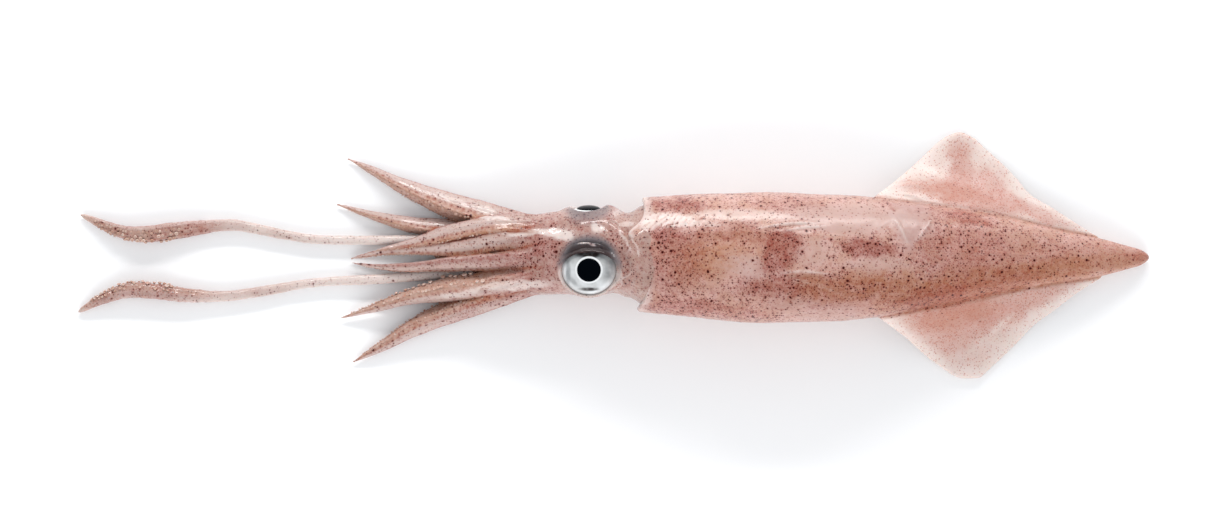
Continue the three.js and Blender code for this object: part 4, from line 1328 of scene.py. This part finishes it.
# %% Tentacle sizes
STALK_TALL = 0.85
CLUB_MIDDLE, CLUB_SPREAD = 0.85, 0.1
TENTACLES = [
    {"name": "right", "suckers": math.radians(125),
     "half": [[0, 2.2], [0.3, 1.9], [0.42, 1.8], [0.52, 1.8], [0.62, 2.02], [0.7, 2.35], [0.75, 2.85],
              [0.8, 3.4], [0.85, 3.3], [0.9, 2.65], [0.93, 2.2], [0.96, 1.65], [0.98, 1.25], [1, 0.5]],
     "route": [[-20, 3.4, 12.5], [-45, 6.3, 8.6], [-62, 6.7, 5], [-93, 6.2, 2.4], [-118, 6.6, 2.1],
               [-128, 8.1, 2.1], [-138, 10.1, 2.1], [-149, 12.1, 2.2], [-161, 11.4, 2.5], [-172, 10, 2.8],
               [-184, 8.6, 2.9], [-192, 9.2, 2.7], [-199, 11.5, 2.2], [-209.8, 16.3, 0.9]]},
    {"name": "left", "suckers": math.radians(25),
     "half": [[0, 2.2], [0.3, 2], [0.42, 1.9], [0.5, 1.75], [0.62, 2], [0.7, 2.15], [0.75, 2.75],
              [0.82, 3.2], [0.87, 3.25], [0.91, 2.8], [0.94, 2.3], [0.96, 1.8], [0.98, 1.35], [1, 0.5]],
     "route": [[-20, -2.4, 12.5], [-45, -4.7, 8.8], [-62, -6.4, 5.2], [-93, -9.1, 2.4], [-118, -10.5, 2.1],
               [-135, -13.3, 2.1], [-152, -15.7, 2.2], [-167, -15.4, 2.6], [-180, -13.8, 2.9],
               [-190, -13.3, 2.9], [-199, -15.9, 2.3], [-205, -18.8, 1.7], [-210.7, -22.1, 0.9]]},
]
TENTACLE_ROWS, TENTACLE_AROUND, TENTACLE_SAMPLES = 560, 40, 600
for tentacle in TENTACLES:
    tentacle["path"] = smooth_route(tentacle["route"], TENTACLE_SAMPLES)
print("tentacle lengths in mm", {limb["name"]: round(limb["path"]["length"]) for limb in TENTACLES})


# %% Tentacle form
def tentacle_half(tentacle, share):
    return through(tentacle["half"], share) * rounded(share, 0.02) * rounded(1 - share, 0.01)


def limb_surface(path, half, tall, share, angle):
    """Points on a limb's skin at shares of its length and angles round it."""
    centre = along_route(path, "centre", share)
    side = along_route(path, "side", share) * (half * np.cos(angle))[..., None]
    over = along_route(path, "over", share) * (half * tall * np.sin(angle))[..., None]
    return centre + side + over


def tentacle_rings(tentacle, share, angle, turn, club):
    """The skin of a tentacle, with thin edges beside its suckers and lumps on its club."""
    edges = 0.08 * hump(turn, 1.2, 0.2) - 0.1 * (1 - soft_step(turn, 0.8, 1.4))
    half = tentacle_half(tentacle, share) * (1 + club * edges)
    rings = limb_surface(tentacle["path"], half, STALK_TALL, share, angle)
    lump = 0.1 * wander(rings, 6, 6.1) + (0.1 + 0.12 * club) * wander(rings, 1.9, 9.4)
    rings = rings + ring_normals(rings) * lump[..., None]
    rings[..., 2] = np.maximum(rings[..., 2], 0)
    return rings


# %% Build the tentacles
def make_tentacle(tentacle, material):
    share = np.linspace(0.002, 0.998, TENTACLE_ROWS)[:, None] + np.zeros((1, TENTACLE_AROUND))
    angle = np.linspace(0, 2 * math.pi, TENTACLE_AROUND, endpoint=False)[None, :] + 0 * share
    turn = turn_from(tentacle["suckers"], angle)
    club = 1 - soft_step(np.abs(share - CLUB_MIDDLE), CLUB_SPREAD, 1.7 * CLUB_SPREAD)
    rings = tentacle_rings(tentacle, share, angle, turn, club)
    inner = 1 - soft_step(turn, 0.8, 1.4)
    back = soft_step(turn, 1.15, 1.9)
    outer = soft_step(share, 0.47, 0.6) * (1 - soft_step(share, 0.66, 0.74))
    patchy = 0.5 + 0.7 * wander(rings, 9, 14.2)
    # painted sheen: paler on the back of each club, where its wet skin would shine
    painted_club_sheen = back * soft_step(share, 0.58, 0.66) * (1 - soft_step(share, 0.78, 0.84))
    tip = soft_step(share, 0.93, 0.99)
    values = {
        "flush": club * (0.05 + 0.6 * patchy + 0.1 * back) * (1 - 0.6 * tip) + 0.35 * outer * patchy,
        "ochre": 0.35 * club * inner + 0.3 * tip + 0.1 * outer,
        "glass": np.clip(0.7 - 0.55 * club - 0.4 * outer * patchy + 0.5 * painted_club_sheen, 0.1, 0.8),
        "bare": 0.7 - 0.3 * club,
        "slate": 0.12 * (1 - club),
        "stipple": 0.15 * club,
    }
    ends = tentacle["path"]["centre"][[0, -1]]
    write_rings(f"tentacle_{tentacle['name']}", rings, ends, material, "head", values)


tentacle_skin = skin_material(
    "tentacle skin", HEAD_FLESH, HEAD_BARE_SKIN, ARM_ROSE, spot_scale=0.75, gloss=0.1, strength=0.3
)
for tentacle in TENTACLES:
    make_tentacle(tentacle, tentacle_skin)

# %% [markdown]
# ## Suckers
#
# Suckers are little cups on short stalks, in two rows on an arm and four on a club. They show as pale
# beads along the inner edges. Bumps in the skin would leave those edges straight, so they are real cups:
# one profile turned round gives a cup, and all cups of a kind are one mesh.

# %% One cup
CUP_PROFILE = np.array([  # radius and height of the cup, in radii, from the stalk to the bottom of the bowl
    [0.35, -0.7], [0.5, -0.25], [0.82, 0.05], [1.0, 0.32], [0.97, 0.55], [0.82, 0.66],
    [0.68, 0.6], [0.56, 0.42], [0.3, 0.3],
])
CUP_SIDES = 12


def cup_points(centre, outward, radius, turn):
    """The rings of one cup, and the point in its middle."""
    outward = outward / np.linalg.norm(outward)
    first = np.cross(outward, [0.3, 0.2, 1.0])
    first /= np.linalg.norm(first)
    second = np.cross(outward, first)
    a = turn + np.linspace(0, 2 * math.pi, CUP_SIDES, endpoint=False)[None, :, None]
    r, h = CUP_PROFILE[:, 0][:, None, None] * radius, CUP_PROFILE[:, 1][:, None, None] * radius
    rings = centre + r * (np.cos(a) * first + np.sin(a) * second) + h * outward
    return np.concatenate([rings.reshape(-1, 3), [centre + 0.28 * radius * outward]])


def cup_faces(offset):
    """Faces of one cup whose points start at an offset."""
    rows = len(CUP_PROFILE)
    ring = offset + np.arange(rows * CUP_SIDES).reshape(rows, CUP_SIDES)
    beside = np.roll(ring, -1, axis=1)
    faces = np.stack([ring[:-1], beside[:-1], beside[1:], ring[1:]], axis=-1).reshape(-1, 4).tolist()
    middle = offset + rows * CUP_SIDES
    faces += [[int(a), int(b), middle] for a, b in zip(ring[-1], beside[-1])]
    faces.append([int(a) for a in ring[0][::-1]])
    return faces


print("faces in one cup", len(cup_faces(0)))


# %% Sucker flesh
def sucker_material():
    """Whitish cups with a warmer bowl."""
    material, tree, shader = new_material("sucker flesh", {
        "Roughness": 0.36, "Coat Weight": 0.5, "Coat Roughness": 0.12,
        "Subsurface Weight": 0.25, "Subsurface Radius": (1.0, 0.5, 0.35), "Subsurface Scale": MM,
    })
    place = place_in_mm(tree)
    tone = mixed(tree, cloudy(tree, place, 3.0), colour(232, 212, 202), colour(204, 170, 154))
    tone = mixed(tree, times(tree, stored(tree, "ochre"), 0.8), tone, colour(172, 128, 108))
    put(shader.inputs["Base Color"], tone)
    put(shader.inputs["Normal"], bumps_in(tree, place, 0.4, 0.2, 0.2))
    return material


# %% Cups as one mesh
def make_suckers(name, places, material):
    """One mesh with a cup at each place: centre, outward way, radius, share of ochre."""
    points, faces, bowl = [], [], []
    depth = np.append(np.repeat([0, 0, 0, 0, 0, 0.1, 0.6, 1, 1], CUP_SIDES), 1)
    for number, (centre, outward, radius, tint) in enumerate(places):
        faces += cup_faces(number * len(depth))
        points.append(cup_points(centre, outward, radius, number * 1.7))
        bowl.append(np.maximum(0.6 * depth, tint))
    points = np.concatenate(points)
    points[:, 2] = np.maximum(points[:, 2], 0)
    write_mesh(name, points, faces, material, "head", {"ochre": np.concatenate(bowl)})


# %% Rows of cups
chance = np.random.default_rng(11)


def limb_cups(path, half_of, tall, suckers, rows, start, stop, radius_of, missing, tints):
    """Places for rows of cups on a limb. A row has a turn from the middle of the face and a size."""
    places = []
    for number, (spread, size) in enumerate(rows):
        share = start + number * 0.006
        while share < stop:
            radius = size * radius_of(share) * chance.uniform(0.75, 1.2)
            angle = suckers + spread + chance.normal(0, 0.07)
            half = half_of(share, angle)
            surface = limb_surface(path, half, tall, share, angle)
            level = limb_surface(path, half, tall, share, suckers + 0.5 * spread)
            outward = level - along_route(path, "centre", share)
            outward = outward / np.linalg.norm(outward)
            if chance.random() >= missing:
                places.append((surface + outward * radius * 0.25, outward, radius, chance.choice(tints)))
            share += (2.9 + 0.5 * math.sin(7 * number + 90 * share)) * radius / path["length"]
    return places


arm_cups, club_cups = [], []
CUP_SIZES = {"right 1": 0.5, "right 2": 0.62, "right 3": 0.58, "right 4": 0.55,
             "left 1": 0.5, "left 2": 0.95, "left 3": 0.7, "left 4": 0.6}
for arm in ARMS:
    cup_size = CUP_SIZES[arm["name"]]
    arm_cups += limb_cups(
        arm["path"], lambda share, angle: arm_half(arm, share) * arm_section(arm, angle), arm["tall"],
        arm["suckers"], [(-0.55, cup_size), (0.55, 0.75 * cup_size)], start=0.34, stop=0.95,
        radius_of=lambda share: 0.24 + 0.15 * arm_half(arm, share), missing=0.15,
        tints=(0, 0.3, 0.7) if arm["name"] == "left 2" else (0.4, 0.8, 1.0),
    )
for tentacle in TENTACLES:
    club_cups += limb_cups(
        tentacle["path"], lambda share, angle: 0.93 * tentacle_half(tentacle, share), STALK_TALL,
        tentacle["suckers"], [(-0.85, 0.7), (-0.27, 0.9), (0.27, 1.0), (0.85, 0.75)],
        start=0.79, stop=0.965, radius_of=lambda share: 0.22 + 0.18 * tentacle_half(tentacle, share),
        missing=0.35, tints=(0, 0.5, 0.9),
    )
sucker_flesh = sucker_material()
make_suckers("arm_suckers", arm_cups, sucker_flesh)
make_suckers("club_suckers", club_cups, sucker_flesh)
print("suckers", len(arm_cups), "on arms", len(club_cups), "on clubs")

# %% [markdown]
# ## Eyes
#
# A squid's eye is silvery, with smudges of grey, and a black pupil in a white ring. Some of the grey is
# painted light: reflections at the sides of the iris and shade under the upper lid. A ring and smudges
# could come from node gradients, but values on the ball's points, laid out in the plane of the iris, are
# simpler to place. The lens is a glossy black cap.

# %% Eye colours
# grey smudges of the iris, with painted reflections at its sides and painted shade under the upper lid
EYE_SMUDGES_AND_PAINTED_LIGHT = [  # in the plane of the iris: x, y, half length, half width, turn, strength
    [-0.2, 5.9, 5.6, 2.0, 0, 0.95], [-8.1, -2.0, 0.9, 4.6, 0, 0.6], [7.9, -0.8, 2.4, 3.4, 0, 0.45],
    [6.2, 3.8, 3.6, 1.0, -30, 0.4], [-9.2, 4.5, 3.0, 2.5, 30, 0.4], [0, 8.6, 11, 1.8, 0, 0.9],
    [-6.2, -5.0, 1.0, 2.2, 40, 0.3],
]
# a dark bar below the pupil, and a painted shadow under the upper lid
EYE_DARK_BAR_AND_LID_SHADOW = [[0, -8.0, 3.7, 0.8, 0, 0.95], [0, 6.2, 4.8, 1.3, 0, 0.95]]
RING_RADIUS = 4.9
SILVER, PEWTER = colour(228, 231, 233), colour(196, 198, 198)
SMUDGE_AND_PAINTED_LIGHT_GREY = colour(92, 98, 103)
BAR_AND_SHADOW_DARK = colour(48, 38, 36)
RING_WHITE = colour(246, 249, 250)


# %% Eye materials
def eye_material():
    material, tree, shader = new_material("eye silver", {
        "Roughness": 0.3, "Metallic": 0.15, "Coat Weight": 0.7, "Coat Roughness": 0.06,
    })
    place = place_in_mm(tree)
    broken = cloudy(tree, place, 1.6, to_low=0.75, to_high=1.1, detail=3.0)
    tone = mixed(tree, cloudy(tree, place, 5.0), SILVER, PEWTER)
    # grey smudges with painted reflections and lid shade, then a dark bar and a painted lid shadow
    for share, pigment in (("slate", SMUDGE_AND_PAINTED_LIGHT_GREY), ("flush", BAR_AND_SHADOW_DARK)):
        tone = mixed(tree, times(tree, stored(tree, share), broken, clamp=True), tone, pigment)
    put(shader.inputs["Base Color"], mixed(tree, stored(tree, "bare"), tone, RING_WHITE))
    return material


LENS_GLOSS = {
    "Base Color": colour(3, 6, 11), "Roughness": 0.2, "Specular IOR Level": 0.05,
    "Coat Weight": 0.08, "Coat Roughness": 0.03,
}
silver, black = eye_material(), new_material("lens black", LENS_GLOSS)[0]


# %% Build the eyes
def oval_rings(radius, depth, forward, rows, around):
    """Rings of an oval ball, from the pole it looks with to the other."""
    polar = (np.arange(rows)[:, None] + 0.5) / rows * math.pi
    turn = -np.linspace(0, 2 * math.pi, around, endpoint=False)[None, :]
    x = radius * np.sin(polar) * np.cos(turn)
    y = radius * np.sin(polar) * np.sin(turn)
    z = depth * np.cos(polar) + forward + 0 * turn
    return np.stack([x, y, z], axis=-1)


def make_oval(eye, name, radius, depth, forward, grid, material, values_of):
    """An oval ball in an eye, with values worked out in the plane of the iris."""
    def placed(local):
        return turned(local, -eye["look"]) + np.array(eye["middle"])

    local = oval_rings(radius, depth, forward, *grid)
    poles = np.array([[0, 0, forward + depth], [0, 0, forward - depth]])
    node = f"{name}_{eye['name']}"
    piece = f"{node}_{PIECE_ENDINGS[name]}"
    write_rings(piece, placed(local), placed(poles), material, node, values_of(local))


def iris_values(local):
    x, y, z = np.moveaxis(local, -1, 0)
    front = soft_step(z, -0.5, 0.5)
    ring = 1 - soft_step(np.abs(np.hypot(x, y) - RING_RADIUS), 0.35, 0.6)
    return {
        # grey smudges with painted reflections and lid shade, and a dark bar with a painted lid shadow
        "slate": marks(x, y, EYE_SMUDGES_AND_PAINTED_LIGHT, 0.5) * front,
        "flush": marks(x, y, EYE_DARK_BAR_AND_LID_SHADOW, 0.45) * front,
        "bare": ring * front,
    }


PIECE_ENDINGS = {"eyeball": "skin", "lens": "cap"}
BALL_GRID, CAP_GRID = (110, 150), (32, 72)  # rows, and points in a row
LENS_MIDDLE = EYE_DEPTH + LENS_PROUD - LENS_DEPTH
for eye in EYES:
    make_oval(eye, "eyeball", EYE_RADIUS, EYE_DEPTH, 0, BALL_GRID, silver, iris_values)
    make_oval(eye, "lens", LENS_RADIUS, LENS_DEPTH, LENS_MIDDLE, CAP_GRID, black, lambda local: {})

# %% [markdown]
# ## Sizes
#
# The box of the solids and the box of the dressed squid, to compare.

# %% Both boxes
size = {"solids": SOLIDS_BOX, "dressed": [list(corner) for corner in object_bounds()]}
print("dressed box in mm", [[round(v / MM, 1) for v in corner] for corner in size["dressed"]])
